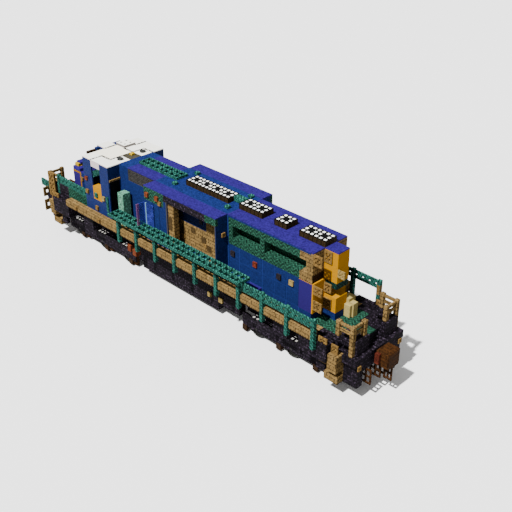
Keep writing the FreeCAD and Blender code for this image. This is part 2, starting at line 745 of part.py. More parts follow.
def cab():
    body = shell("cab_shell", cab_front, cab_rear, half_width, deck_top, skin_under)
    # one opening each side takes the sill panel, the window and the header
    cut(body, "XZ", [rect(window_front, panel_low, window_rear, skin_under)],
        -half_width, half_width)
    cut(body, "YZ", [rect(door_inner, deck_top, door_outer, door_top),
                     rect(-door_outer, deck_top, -door_inner, door_top)],
        cab_rear - wall, cab_rear)
    pane = S["WindowWidth"]
    cut(body, "YZ", [rect(-half_width + pane / 2, screen_low, -half_column, screen_high),
                     rect(half_column, screen_low, half_width - pane / 2, screen_high)],
        cab_front, cab_front + wall)
    hole = S["HingeRadius"] + S["HingeRoom"]
    cut(body, "XY", [(cab_hinge_x, cab_hinge_y, hole), (cab_hinge_x, -cab_hinge_y, hole)],
        door_top, door_top + S["HingeDepth"])
    # lamp housing over the nose
    pad(body, "XY", [rect(cab_front - S["ColumnWidth"], -half_column, cab_front, half_column)],
        skin_under - S["BoxHouseHeight"], skin_under)
    return body


def cab_roof():
    body = new_body("cab_roof")
    pad(body, "XY", [rect(cab_front, -half_width, cab_rear, half_width)], skin_under, roof)
    pad(body, "XY", [rect(cab_front - S["ColumnWidth"], -half_column, cab_front, half_column)],
        skin_under, roof)
    header = pad(body, "XY", [rect(window_front, half_width - S["PanelDepth"],
                                   window_rear, half_width)], window_high, skin_under)
    both_sides(body, [header])
    pad(body, "XY", [rect(cab_front, half_column, cab_front + S["ColumnWidth"],
                          half_column + S["ColumnWidth"])], roof, roof + S["VentHeight"])
    knob = cab_rear - half_column
    pad(body, "XY", [(knob, -S["ColumnWidth"], S["KnobRadius"]),
                     (knob, S["ColumnWidth"], S["KnobRadius"])], roof, roof + S["KnobHeight"])
    return body


def sill_panels():
    body = new_body("cab_sill_panels")
    panel = pad(body, "XY", [rect(window_front, half_width - S["PanelDepth"],
                                  window_rear, half_width)], panel_low, window_low)
    both_sides(body, [panel])
    return body


def windscreens():
    body = new_body("cab_windscreens")
    pane = S["WindowWidth"]
    middle = cab_front + wall / 2
    half = S["GlassThickness"] / 2
    pad(body, "YZ", [rect(-half_width + pane / 2, screen_low, -half_column, screen_high),
                     rect(half_column, screen_low, half_width - pane / 2, screen_high)],
        middle - half, middle + half)
    return body


def walkway_box():
    """Boxes that stand on the deck: one by the near kerb, a pillar and two behind the hood."""
    body = new_body("walkway_box")
    low = room_rear + S["LeafWidth"] * 2
    pad(body, "XY", [rect(low, -half_width, low + S["LeafWidth"], -half_hood)],
        deck_top, kerb_top)
    middle_x = cab_rear + S["PillarPlace"]
    middle_y = -(half_width + half_hood) / 2
    half = S["PillarWidth"] / 2
    pad(body, "XY", [rect(middle_x - half, middle_y - half, middle_x + half, middle_y + half)],
        deck_top, deck_top + S["PillarHeight"])
    sand = long_rear + S["SandPlace"]
    pad(body, "XY", [rect(sand, half_column, sand + S["SandWidth"],
                          half_column + S["SandDepth"])], deck_top, deck_top + S["SandHeight"])
    pad(body, "XY", [rect(sand + S["SandWidth"], half_column, sand + S["SandWidth"] + S["SandRear"],
                          half_column + S["SandDepth"] - S["SandStep"])],
        deck_top, deck_top + S["SandHeight"] - S["SandStep"])
    return body


def cab_door(label, side):
    body = new_body(label)
    gap = S["DoorGap"]
    outer, inner = door_outer - gap, door_inner + gap
    low, high = (inner, outer) if side > 0 else (-outer, -inner)
    pad(body, "YZ", [rect(low, deck_top + gap, high, door_top - gap)],
        cab_rear - wall / 2 - S["DoorThickness"] / 2, cab_rear - wall / 2 + S["DoorThickness"] / 2)
    pad(body, "XY", [(cab_hinge_x, cab_hinge_y * side, S["HingeRadius"])],
        deck_top - S["HingeDepth"], door_top + S["HingeDepth"])
    return body


def cab_seats():
    """Two seats, each with a post, a cushion and a back at its rear edge."""
    body = new_body("cab_seats")
    middle_x = window_front + S["WindowWidth"] / 2
    half, post = S["SeatWidth"] / 2, S["SeatPost"] / 2
    middle_y = half_width - S["PanelDepth"] - wall - half
    cushion = deck_top + S["SeatHeight"]
    top = cushion + S["SeatCushion"]
    made = [
        pad(body, "XY", [rect(middle_x - post, middle_y - post, middle_x + post, middle_y + post)],
            deck_top, cushion),
        pad(body, "XY", [rect(middle_x - half, middle_y - half, middle_x + half, middle_y + half)],
            cushion, top),
        pad(body, "XY", [rect(middle_x + half - S["SeatBack"], middle_y - half,
                              middle_x + half, middle_y + half)],
            top, top + S["SeatBackHeight"]),
    ]
    both_sides(body, made)
    return body


def nose():
    body = new_body("short_nose")
    top = deck_top + S["NoseHeight"]
    pad(body, "XY", [rect(nose_front, -half_hood, cab_front, half_hood)], deck_top, top)
    cut(body, "XY", [rect(nose_front + wall, -half_hood + wall, cab_front, half_hood - wall)],
        deck_top, top - wall)
    return body


def link_hood():
    body = shell("link_hood", cab_rear, room_front, half_hood, deck_top, skin_under)
    pad(body, "XY", [rect(cab_rear, -half_hood, room_front, half_hood)],
        skin_under - wall, skin_under)
    return body


bay_rear = room_rear - wall
bay_front = bay_rear - S["BayLength"]
engine_front = room_front + S["EngineFront"]


def engine_room():
    body = shell("engine_room", room_front, room_rear, half_width, deck_top, skin_under)
    pad(body, "XY", [rect(room_front, -half_width, room_rear, half_width)],
        skin_under - wall, skin_under)
    cut(body, "XZ", [rect(bay_front, deck_top, bay_rear, deck_top + S["BayHeight"])],
        -half_width, half_width)
    return body


def bulkhead():
    """Plates that close the space over the middle of the engine, one on each side."""
    body = new_body("engine_bulkhead")
    low = engine_front + S["EngineEnd"]
    pad(body, "XY", [rect(low, half_hood - wall, low + S["EngineDip"], half_hood),
                     rect(low, -half_hood, low + S["EngineDip"], wall - half_hood)],
        deck_top + S["EngineHeight"], skin_under - wall)
    return body


def engine():
    body = new_body("engine_block")
    dip = engine_front + S["EngineEnd"]
    rear = room_rear - wall
    low, ends = deck_top + S["EngineHeight"], deck_top + S["EngineEnds"]
    pad(body, "XZ", [[(engine_front, deck_top), (rear, deck_top), (rear, ends),
                      (dip + S["EngineDip"], ends), (dip + S["EngineDip"], low), (dip, low),
                      (dip, ends), (engine_front, ends)]], -half_hood, half_hood)
    return body


grille_low = roof - S["GrilleHeight"]
leaf_low = deck_top + S["LeafFoot"]
leaf_high = leaf_low + S["LeafHeight"]
LEAVES = (0, 2, 4, 5)


leaf_hinge_y = half_hood - S["HingeInset"]


def leaf_hinge(column):
    """Hinge line of the hood door in a column of the long hood."""
    return room_rear + S["LeafWidth"] * (column + 1) - S["DoorGap"] - S["HingeInset"]


def long_hood():
    body = shell("long_hood", room_rear, long_rear, half_hood, deck_top, skin_under)
    pad(body, "XY", [rect(room_rear, -half_hood, long_rear, half_hood)],
        skin_under - wall, skin_under)
    cut(body, "XZ", [rect(room_rear + wall, grille_low, long_rear - wall, skin_under - wall)],
        -half_hood, half_hood)
    for column in LEAVES:
        low = room_rear + S["LeafWidth"] * column
        front = low + wall if column == 0 else low
        cut(body, "XZ", [rect(front, leaf_low, low + S["LeafWidth"], leaf_high)],
            -half_hood, half_hood)
    hole = S["HingeRadius"] + S["HingeRoom"]
    holes = []
    for column in LEAVES:
        place = leaf_hinge(column)
        holes += [(place, leaf_hinge_y, hole), (place, -leaf_hinge_y, hole)]
    cut(body, "XY", holes, leaf_low - S["HingeDepth"], leaf_high + S["HingeDepth"])
    return body


def hood_door(label, column, side):
    body = new_body(label)
    gap = S["DoorGap"]
    low = room_rear + S["LeafWidth"] * column
    front = low + wall if column == 0 else low
    outer = half_hood * side
    inner = outer - S["DoorThickness"] * side
    a, b = (inner, outer) if side > 0 else (outer, inner)
    pad(body, "XZ", [rect(front + gap, leaf_low + gap, low + S["LeafWidth"] - gap,
                          leaf_high - gap)], a, b)
    pad(body, "XY", [(leaf_hinge(column), leaf_hinge_y * side, S["HingeRadius"])],
        leaf_low - S["HingeDepth"], leaf_high + S["HingeDepth"])
    return body


def grille_profile(inner):
    """Outline of a recessed plate between its ledges, seen along the locomotive."""
    outer = half_hood
    back = S["GrilleWall"]
    top, low, ledge = skin_under - wall, grille_low, S["GrilleLedge"]
    return [(outer, low), (outer, low + ledge), (inner, low + ledge), (inner, top - ledge),
            (outer, top - ledge), (outer, top), (inner - back, top), (inner - back, low)]


def grilles():
    """Two recessed bays a side, each slotted at the back and ended by pillars."""
    body = new_body("radiator_grilles")
    front, rear = room_rear + wall, long_rear - S["LeafWidth"]
    inner = half_hood - S["GrilleDepth"]
    ledge, pillar = S["GrilleLedge"], S["GrillePillar"]
    plate = pad(body, "YZ", [grille_profile(inner)], front, rear)
    bay_end = room_rear + S["GrilleBay"]
    low, high = grille_low + ledge, skin_under - wall - ledge
    pillars = pad(body, "XZ", [rect(front, low, front + pillar, high),
                               rect(bay_end - pillar / 2, low, bay_end + pillar / 2, high)],
                  inner, half_hood)
    slot = room_rear + S["GrilleSlotPlace"]
    level = high - S["GrilleSlotHeight"]
    slots = cut(body, "XZ", [rect(slot, level, slot + S["GrilleSlot"], high),
                             rect(slot + S["GrilleBay"], level,
                                  slot + S["GrilleBay"] + S["GrilleSlot"], high)],
                inner - S["GrilleWall"], inner)
    both_sides(body, [plate, pillars, slots])
    return body


def corner_planks():
    body = new_body("corner_planks")
    front = long_rear - S["LeafWidth"]
    inner = half_hood - S["GrilleDepth"]
    plate = pad(body, "YZ", [grille_profile(inner)], front, long_rear - wall)
    ledge = S["GrilleLedge"]
    block = pad(body, "XZ", [rect(front + S["PlankNotch"], grille_low + ledge,
                                  long_rear - wall, skin_under - wall - ledge)],
                inner, half_hood)
    both_sides(body, [plate, block])
    return body


def tail_column():
    body = new_body("tail_column")
    hang = roof - S["GrilleHeight"]
    foot = deck_top + S["TailFoot"]
    # a wall covers the foot of the hood's end
    pad(body, "XY", [rect(long_rear, -half_hood, long_rear + S["TailWall"], half_hood)],
        foot, foot + S["ColumnWidth"] * 2)
    column = rect(long_rear, -half_column, tail_end, half_column)
    pad(body, "XY", [column], hang - S["TailPlate"], skin_under)
    pad(body, "XY", [column], deck_top, foot + S["ColumnWidth"])
    return body


def roof_covers():
    body = new_body("roof_covers")
    pad(body, "XY", [rect(cab_rear, -half_hood, room_front, half_hood)], skin_under, roof)
    pad(body, "XY", [rect(room_front, -half_width, room_rear, half_width)], skin_under, roof)
    pad(body, "XY", [rect(room_rear, -half_hood, long_rear, half_hood)], skin_under, roof)
    pad(body, "XY", [rect(long_rear, -half_column, tail_end, half_column)], skin_under, roof)
    return body


# each box: first block behind the engine room's rear wall, length in blocks
FAN_BOXES = ((-5, 4), (0, 2), (3, 1), (5, 2))


def fan_boxes():
    body = new_body("roof_fan_boxes")
    box = S["ColumnWidth"]
    for first, length in FAN_BOXES:
        front = room_rear + box * first
        pad(body, "XY", [rect(front, -half_column, front + box * length, half_column)],
            roof, roof + S["FanHeight"])
    return body


def roof_grate():
    body = new_body("roof_grate")
    pitch = S["GratePitch"]
    front = cab_rear + pitch
    for start, panels in ((front, 3), (front + pitch * 3 + S["GrateBreak"], 1)):
        pad(body, "XY", [rect(start, -half_column, start + pitch * panels, half_column)],
            roof, roof + S["GrateThickness"])
        openings = cut(body, "XY", grate_openings(start, Size.of(0), pitch),
                       roof, roof + S["GrateThickness"])
        if panels > 1:
            row_of(body, [openings], "X", pitch, panels)
    return body


# ---------------------------------------------------------------------------------------------
# Running gear
# ---------------------------------------------------------------------------------------------
AXLES = (-1, 0, 1)


def bogie_frame(label, centre):
    body = new_body(label)
    inner = half_hood - S["FrameThickness"]
    reach = S["AxleSpacing"] + S["FrameEnd"]
    bores = [(centre + S["AxleSpacing"] * axle, axle_level,
              S["JournalRadius"] + S["JournalClearance"]) for axle in AXLES]
    low, high = S["FrameClearance"], frame_top
    box = S["BoxWidth"] / 2
    dip = high - S["BoxSeat"]
    outline = [(centre - reach, low), (centre + reach, low), (centre + reach, high)]
    for axle in reversed(AXLES):
        place = centre + S["AxleSpacing"] * axle
        outline += [(place + box, high), (place + box, dip), (place - box, dip),
                    (place - box, high)]
    outline.append((centre - reach, high))
    plate = pad(body, "XZ", [outline] + bores, inner, half_hood)
    both_sides(body, [plate])
    # transoms between the wheels carry the bolster beam over the middle axle
    half = S["TransomWidth"] / 2
    beam_low = axle_level + S["BoxSeat"]
    for place in (centre - S["AxleSpacing"] / 2, centre + S["AxleSpacing"] / 2):
        pad(body, "XY", [rect(place - half, -inner, place + half, inner)],
            axle_level, frame_top)
    top = S["BolsterUnder"] - S["BolsterGap"]
    beam = S["AxleSpacing"] / 2 + half
    side = S["BeamWidth"] / 2
    pad(body, "XY", [rect(centre - beam, -side, centre + beam, side),
                     (centre, 0, S["PivotRadius"] + S["JournalClearance"])], beam_low, top)
    # inner plates stand on the spring boxes, held by the transoms
    inner_low = dip + S["BoxHeight"]
    outline = [(centre + reach, inner_low), (centre + reach, S["InnerTop"]),
               (centre - reach, S["InnerTop"]), (centre - reach, inner_low)]
    for foot in (centre - S["AxleSpacing"] / 2, centre + S["AxleSpacing"] / 2):
        outline += [(foot - half, inner_low), (foot - half, dip), (foot + half, dip),
                    (foot + half, inner_low)]
    inner_plate = pad(body, "XZ", [outline], S["InnerPlace"] - S["InnerThickness"],
                      S["InnerPlace"])
    both_sides(body, [inner_plate])
    return body


def spring_boxes(label, centre):
    """A box over each wheel of a bogie, hollowed to let the flange turn inside it."""
    body = new_body(label)
    low = frame_top - S["BoxSeat"]
    half = S["BoxWidth"] / 2
    places = [centre + S["AxleSpacing"] * axle for axle in AXLES]
    box = pad(body, "XY", [rect(place - half, half_hood - S["BoxDepth"], place + half, half_hood)
                           for place in places], low, low + S["BoxHeight"])
    room = axle_level + S["WheelRoom"]
    hollow = cut(body, "XZ", [(place, axle_level, room) for place in places],
                 S["BackToBack"] / 2 - S["WheelRoom"], half_hood - S["FrameThickness"])
    both_sides(body, [box, hollow])
    return body


def brake_shoes(label, centre):
    """Shoes on hangers inside the side plates, one for each wheel."""
    body = new_body(label)
    half = S["ShoeWidth"] / 2
    inner = half_hood - S["FrameThickness"]
    way = 1 if centre.value < 0 else -1
    places = [centre + S["AxleSpacing"] * axle + S["ShoePlace"] * way for axle in AXLES]
    shoe = pad(body, "XY", [rect(place - half, inner - S["ShoeThickness"], place + half, inner)
                            for place in places], S["ShoeUnder"], frame_top - S["BoxSeat"])
    both_sides(body, [shoe])
    return body


def wheelset(label, place):
    """Two flanged wheels and their axle, turned about one line."""
    body = new_body(label)
    tread, width = S["WheelRadius"], S["WheelWidth"]
    back = S["BackToBack"] / 2
    face = back + width
    end = half_hood - S["DoorGap"]
    hub, web = S["HubRadius"], face - S["WebInset"]
    rim = tread - S["RimHeight"]
    flange = tread + S["FlangeHeight"]
    half_line = [
        (end, S["JournalRadius"]), (face, S["JournalRadius"]), (face, hub),
        (web, hub), (web, rim), (face, rim), (face, tread),
        (back + S["FlangeWidth"], tread), (back + S["FlangeTip"], flange),
        (back, flange), (back, S["AxleRadius"]),
    ]
    outline = [(-a, b) for a, b in half_line]
    outline += [(a, b) for a, b in reversed(half_line)]
    outline += [(end, 0), (-end, 0)]
    turned = body.newObject("PartDesign::Revolution", label + "_turned")
    sketch = draw(body, "YZ", [outline], 0)
    turned.Profile = sketch
    turned.ReferenceAxis = (sketch, ["H_Axis"])
    turned.Angle = 360
    body.Placement = Placement(Vector(place.value, 0, axle_level.value), Rotation())
    body.setExpression("Placement.Base.x", place.text)
    body.setExpression("Placement.Base.z", axle_level.text)
    return body


# ---------------------------------------------------------------------------------------------
# Assembly list
# ---------------------------------------------------------------------------------------------
nodes = [
    underframe(),
    pilot("pilot_front", -1),
    pilot("pilot_rear", 1),
    pilot_flaps(),
    coupler("coupler_front", -1),
    coupler("coupler_rear", 1),
    fuel_tank(),
    steps(),
    kerbs(),
    tail_floor(),
    side_rail("side_rail_near", -1),
    side_rail("side_rail_far", 1),
    end_rails(),
    nose_rails(),
    nose_walls(),
    cab(),
    cab_roof(),
    sill_panels(),
    cab_door("cab_door_near", -1),
    cab_door("cab_door_far", 1),
    cab_seats(),
    windscreens(),
    walkway_box(),
    nose(),
    link_hood(),
    engine_room(),
    bulkhead(),
    engine(),
    long_hood(),
    grilles(),
    corner_planks(),
    tail_column(),
    roof_covers(),
    fan_boxes(),
    roof_grate(),
]
for side_name, side in (("near", -1), ("far", 1)):
    for column in LEAVES:
        nodes.append(hood_door(f"hood_door_{side_name}_{column + 1}", column, side))
for end_name, centre in (("front", -S["BogieFront"]), ("rear", S["BogieRear"])):
    nodes.append(bogie_frame(f"bogie_frame_{end_name}", centre))
    nodes.append(spring_boxes(f"spring_boxes_{end_name}", centre))
    nodes.append(brake_shoes(f"brake_shoes_{end_name}", centre))
    for axle in AXLES:
        nodes.append(wheelset(f"wheelset_{end_name}_{axle + 2}",
                              centre + S["AxleSpacing"] * axle))

# ---------------------------------------------------------------------------------------------
# Check and write
# ---------------------------------------------------------------------------------------------
doc.recompute()
failed = [item.Name for item in doc.Objects if "Invalid" in item.State or "Error" in item.State]
if failed:
    raise RuntimeError("features failed: " + ", ".join(failed))
for node in nodes:
    if node.Shape.isNull() or not node.Shape.isValid():
        raise RuntimeError("bad shape: " + node.Label)

os.makedirs("parts", exist_ok=True)
for node in nodes:
    node.Shape.exportStep(os.path.join("parts", node.Label + ".step"))
    box = node.Shape.BoundBox
    print(f"{node.Label:22s} solids {len(node.Shape.Solids):2d}  volume {node.Shape.Volume / 1e9:8.3f} m3"
          f"  x {box.XMin:7.0f} {box.XMax:7.0f}  y {box.YMin:7.0f} {box.YMax:7.0f}"
          f"  z {box.ZMin:7.0f} {box.ZMax:7.0f}")
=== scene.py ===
import json
import math

import bmesh
import bpy
from mathutils import Matrix, Vector


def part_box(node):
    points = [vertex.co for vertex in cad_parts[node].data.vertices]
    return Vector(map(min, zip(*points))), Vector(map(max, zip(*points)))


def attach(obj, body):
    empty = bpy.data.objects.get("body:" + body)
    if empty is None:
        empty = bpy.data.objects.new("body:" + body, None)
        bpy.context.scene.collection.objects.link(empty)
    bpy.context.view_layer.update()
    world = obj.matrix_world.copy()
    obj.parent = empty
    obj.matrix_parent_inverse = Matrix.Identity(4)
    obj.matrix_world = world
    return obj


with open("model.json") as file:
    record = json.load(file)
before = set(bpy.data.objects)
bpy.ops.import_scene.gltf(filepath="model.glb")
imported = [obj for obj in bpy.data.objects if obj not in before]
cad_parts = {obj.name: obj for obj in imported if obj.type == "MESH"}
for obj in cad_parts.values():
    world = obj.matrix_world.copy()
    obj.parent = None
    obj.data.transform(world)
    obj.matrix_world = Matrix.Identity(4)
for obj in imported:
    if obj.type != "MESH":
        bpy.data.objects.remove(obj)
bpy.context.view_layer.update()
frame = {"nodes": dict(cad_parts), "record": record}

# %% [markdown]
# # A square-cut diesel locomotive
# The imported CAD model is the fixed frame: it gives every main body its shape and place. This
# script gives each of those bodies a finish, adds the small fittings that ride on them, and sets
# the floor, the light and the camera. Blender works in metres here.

nodes = frame["nodes"]

# %% [markdown]
# ## The builder's module
# The locomotive is laid out on a cubic module of 600 mm: panels, posts and openings start and end
# on it. Fittings and colour zones are easier to place by counting modules than by adding metres,
# so places below are (along, across, up) in modules. They are counted from the rear near corner of
# the engine room at roof height: along grows towards the rear, across towards the far side.

# %% Counting in modules
MODULE = 0.6                            # metres
SQUARES = 16                            # squares of surface grain in one module
GRAIN = MODULE / SQUARES                # side of one square, in metres
CORNER = Vector((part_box("engine_room")[1].x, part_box("long_hood")[0].y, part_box("roof_covers")[1].z))
MIDDLE = -CORNER.y / MODULE             # the centre line, in modules across


def spot(along, across, up):
    """A place counted in modules, as a point in metres."""
    return CORNER + MODULE * Vector((along, across, up))


print("modules are counted from", tuple(round(v, 3) for v in CORNER), "centre line at", MIDDLE)

# %% [markdown]
# ## Writing shader maths as plain formulas
# Blender's procedural finishes are node trees, and a tree with forty Math nodes is hard to read.
# This class wraps one socket. Adding or comparing two wrapped sockets adds the Math node and wires
# it, so a pattern can be written the way one would write it on paper. `node` adds any other node.
# A comparison gives a mask, a number that is 1 where it holds and 0 elsewhere: two masks
# multiplied hold where both do, and `|` holds where either does.

# %% A socket with arithmetic
class Field:
    """A number, vector or colour that varies over a surface."""

    def __init__(self, tree, socket=None):
        self.tree = tree
        self.socket = socket

    def node(self, kind, inputs=(), output=0, stops=(), **settings):
        """Adds a node, sets it up, then fills its sockets with values or links."""
        made = self.tree.nodes.new(kind)
        for key, value in settings.items():
            setattr(made, key, value)
        if stops:
            ramp = made.color_ramp
            ramp.interpolation = "CONSTANT"
            ramp.elements.remove(ramp.elements[-1])
            ramp.elements[0].color = stops[0][1]
            for start, colour in stops[1:]:
                ramp.elements.new(start).color = colour
        for name, value in inputs:
            if isinstance(value, Field):
                self.tree.links.new(value.socket, made.inputs[name])
            else:
                made.inputs[name].default_value = value
        return Field(self.tree, made.outputs[output])

    def maths(self, operation, first, second=0.0):
        return self.node("ShaderNodeMath", [(0, first), (1, second)], operation=operation)

    def __add__(self, other):
        return self.maths("ADD", self, other)

    __radd__ = __add__

    def __sub__(self, other):
        return self.maths("SUBTRACT", self, other)

    def __rsub__(self, other):
        return self.maths("SUBTRACT", other, self)

    def __mul__(self, other):
        return self.maths("MULTIPLY", self, other)

    __rmul__ = __mul__

    def __truediv__(self, other):
        return self.maths("DIVIDE", self, other)

    def __mod__(self, other):
        return self.maths("FLOORED_MODULO", self, other)

    def __lt__(self, other):
        return self.maths("LESS_THAN", self, other)

    def __gt__(self, other):
        return self.maths("GREATER_THAN", self, other)

    def __or__(self, other):
        """Either of two masks."""
        return self.maths("MAXIMUM", self, other)

    def floor(self):
        return self.maths("FLOOR", self)

    def size(self):
        return self.maths("ABSOLUTE", self)

    def between(self, low, high):
        """A mask that is 1 from low to high."""
        return (self - (low + high) / 2).size() < (high - low) / 2

    def parts(self):
        """The three numbers of a vector."""
        split = self.node("ShaderNodeSeparateXYZ", [(0, self)])
        return [Field(self.tree, output) for output in split.socket.node.outputs]

    def shifted(self, other, scale):
        """This vector plus another one times a number."""
        step = self.node("ShaderNodeVectorMath", [(0, other), ("Scale", scale)], operation="SCALE")
        return self.node("ShaderNodeVectorMath", [(0, self), (1, step)], operation="ADD")


def lay(under, mask, over):
    """Paints one colour over another where the mask is 1; 6 and 7 are the Mix node's colours."""
    return mask.node("ShaderNodeMix", [(0, mask), (6, under), (7, over)], 2, data_type="RGBA")


print("shader arithmetic ready")

# %% [markdown]
# ## Where a point lies, and its grain
# A finish needs to know where on the locomotive each point lies. `Surface` starts a material and
# works that out in modules. Each point is first moved a hair inside the body along its normal, so
# that a face lying exactly on a module line doesn't flicker between the two sides of it. `speckle`
# is a random number for each small square of the grain, from a white-noise node fed with whole
# numbers, so it never repeats and needs no picture.

# %% Colours as linear light
INSET = 0.3 * GRAIN                     # how far inside a face its colour is looked up


def tint(colour, strength=1.0):
    """A display colour from 0 to 255 as linear light, at some strength."""
    linear = [((c / 255 + 0.055) / 1.055) ** 2.4 if c > 10 else c / 255 / 12.92 for c in colour]
    return (*(min(1.0, channel * strength) for channel in linear), 1.0)


def darker(colour, strength):
    """The same display colour with less light in it."""
    return tuple(channel * strength for channel in colour)


def pick(mask, low, high):
    """Takes the number high where the mask is 1 and low elsewhere."""
    return low + (high - low) * mask


print("grain squares of", round(GRAIN * 1000, 1), "mm")

# %% A material under construction
class Surface:
    """A new material, and the place of each of its points on the locomotive."""

    def __init__(self, name, roughness=0.75, specular=0.05, **fixed):
        self.material = bpy.data.materials.new(name)
        self.material.use_nodes = True
        self.tree = self.material.node_tree
        self.shader = self.tree.nodes["Principled BSDF"]
        fixed = {"Roughness": roughness, "Specular IOR Level": specular, **fixed}
        for socket, value in fixed.items():
            self.shader.inputs[socket].default_value = value
        place = Field(self.tree).node("ShaderNodeTexCoord", output="Object")
        normal = Field(self.tree, place.socket.node.outputs["Normal"])
        metres = place.shifted(normal, -INSET).parts()
        self.along, self.across, self.up = [
            axis / MODULE - start / MODULE for axis, start in zip(metres, CORNER)]
        self.off = (self.across - MIDDLE).size()          # distance from the centre line
        facing = normal.parts()
        self.endward = facing[0].size() > 0.5
        self.sideward = facing[1].size() > 0.5
        self.upward = facing[2] > 0.5
        self.flat = facing[2].size() > 0.5

    def zone(self, along=None, off=None, up=None):
        """A mask for a block of space; the far side mirrors the near one."""
        sides = [(self.along, along), (self.off, off), (self.up, up)]
        masks = [axis.between(*span) for axis, span in sides if span]
        mask = masks[0]
        for other in masks[1:]:
            mask = mask * other
        return mask

    def speckle(self, per_module=SQUARES, seed=0.0):
        """A random number from 0 to 1 for each square of a grid."""
        steps = [(axis * per_module).floor() for axis in (self.along, self.across, self.up)]
        square = self.along.node("ShaderNodeCombineXYZ", list(enumerate(steps)))
        return square.node("ShaderNodeTexWhiteNoise", [("Vector", square), ("W", seed)],
                           noise_dimensions="4D")

    def level(self):
        """Height on an upright face and the place across on a flat one, in grain squares."""
        return pick(self.flat, self.up, self.across) * SQUARES

    def run(self):
        """The place along a wall or floor, whichever way it faces, in grain squares."""
        return pick(self.endward, self.along, self.across) * SQUARES

    def tones(self, colour, strengths, value):
        """Picks one of several strengths of a colour as value goes from 0 to 1."""
        stops = [(number / len(strengths), tint(colour, strength))
                 for number, strength in enumerate(strengths)]
        return value.node("ShaderNodeValToRGB", [(0, value)], stops=stops)

    def wired(self, field, socket):
        """Feeds a field into one socket of the shader."""
        self.tree.links.new(field.socket, self.shader.inputs[socket])


print("a material can be started")

# %% [markdown]
# ## The paints, woods and metals
# Each main colour is named once. A finish then varies its strength, as wear, grain and old coats
# of paint do. Painted sheet has a fine speckle over wider patches. Boards lie four squares wide
# with dark gaps. The dark ballasted frame is laid in courses like brickwork. The green mesh has
# slanting strokes that change direction every half module, and weathered copper is the most
# broken of all. Remainders of a place, counted in grain squares, draw all these lines.

# %% Colours of the locomotive
BLUE = (20, 32, 76)
ROOF_BLUE = (20, 34, 84)
NAVY = (15, 25, 58)
PURPLE = (36, 23, 94)
VIOLET = (36, 25, 86)
YELLOW = (164, 113, 0)
LAMP_YELLOW = (170, 138, 24)
WHITE = (248, 246, 236)
WARM_WHITE = (252, 246, 226)
GRID_WHITE = (255, 255, 250)
# tan with painted light in it, for the lit front of the engine
CREAM = (152, 136, 82)
TAN = (109, 87, 51)
PAINTED_LIGHT_TAN = (156, 126, 76)
TEAL = (30, 76, 66)
MINT = (76, 124, 102)
GREEN = (28, 62, 48)
BRICK = (24, 19, 26)
BROWN = (52, 30, 11)
FAN_WOOD = (40, 30, 16)
COPPER = (122, 60, 34)
OLIVE = (60, 57, 46)
KNOB_GREY = (46, 47, 46)
VENT_GREY = (112, 106, 104)
HEADER_GREY = (206, 190, 190)
STEEL = (50, 48, 46)
WHEEL = (24, 23, 21)
BLACK = (9, 9, 10)
print("colours named")

# %% Sheet, boards and courses
def sheet(surface, colour, spread=0.25, seed=0.0):
    """Painted sheet: a fine speckle over patches twice as wide."""
    value = surface.speckle(seed=seed) * 0.6 + surface.speckle(8, seed + 3.0) * 0.4
    steps = (1 - spread, 1 - spread / 3, 1 + spread / 3, 1 + spread)
    return surface.tones(colour, steps, value)


def boards(surface, colour=TAN, gap=0.28):
    """Boards four squares wide with dashed gaps, and an end joint in each, stepped row by row."""
    level, run = surface.level(), surface.run()
    row = (level / 4).floor()
    seam = (level % 4.0 < 1.0) * (run % 3.0 < 2.0)
    joint = (run + row * 9.0) % SQUARES < 1.0
    value = surface.speckle() * 0.55 + surface.speckle(5, 2.0) * 0.45
    wood = surface.tones(colour, (0.72, 0.95, 1.2, 1.5), value)
    return lay(wood, seam | joint, tint(colour, gap))


def courses(surface, colour=BRICK):
    """Dark blocks eight squares long in courses of four."""
    level, run = surface.level(), surface.run()
    row = (level / 4).floor()
    seam = level % 4.0 < 1.0
    joint = (run + (row % 2.0) * 4.0) % 8.0 < 1.0
    value = surface.speckle() * 0.75 + surface.speckle(8, 4.0) * 0.25
    block = surface.tones(colour, (0.2, 0.4, 0.7, 1.2, 2.2, 5.0), value)
    return lay(block, seam | joint, tint(colour, 0.3))


print("three solid finishes ready")

# %% Mesh and weathered copper
def mesh_strokes(surface, colour=GREEN):
    """Woven mesh: slanting light strokes that turn every half module."""
    zig = (surface.run() % 8.0 - 4.0).size()
    stroke = (surface.level() + zig) % 4.0 < 1.6
    ground = surface.tones(colour, (0.2, 0.4, 0.6, 0.9), surface.speckle())
    wires = surface.tones(colour, (0.8, 1.1, 1.5, 2.2), surface.speckle(seed=6.0))
    return lay(ground, stroke, wires)


def weathered(surface, colour=TEAL):
    """Copper gone green: slanting bright strokes on dark spots, with painted shade on the sides."""
    stroke = (surface.level() + surface.run()) % 4.0 < 2.2
    spots = surface.speckle(seed=5.0)
    ground = surface.tones(colour, (0.12, 0.3, 0.6, 1.0), surface.speckle(seed=1.0))
    worn = lay(ground, stroke, surface.tones(colour, (0.7, 1.2, 1.8, 2.7), spots))
    # painted shade: the side faces get darker strokes than the tops
    shaded_sides = lay(ground, stroke, surface.tones(colour, (0.5, 0.9, 1.3, 2.0), spots))
    return lay(worn, surface.sideward, shaded_sides)


print("two broken finishes ready")

# %% [markdown]
# ## Finishes that change along a body
# Several bodies are one solid but carry more than one finish: the roof skin is blue in the middle
# and purple along the edges, the engine room has mesh and masonry above its opening. Cutting them
# into pieces would leave seams, so one material paints each zone by its place instead. A zone
# names a span along, off the centre line and up, in modules. The far side mirrors the near one.

# %% Roof and hoods
BEYOND = 3                              # wider than the body, for a zone that ends in the open


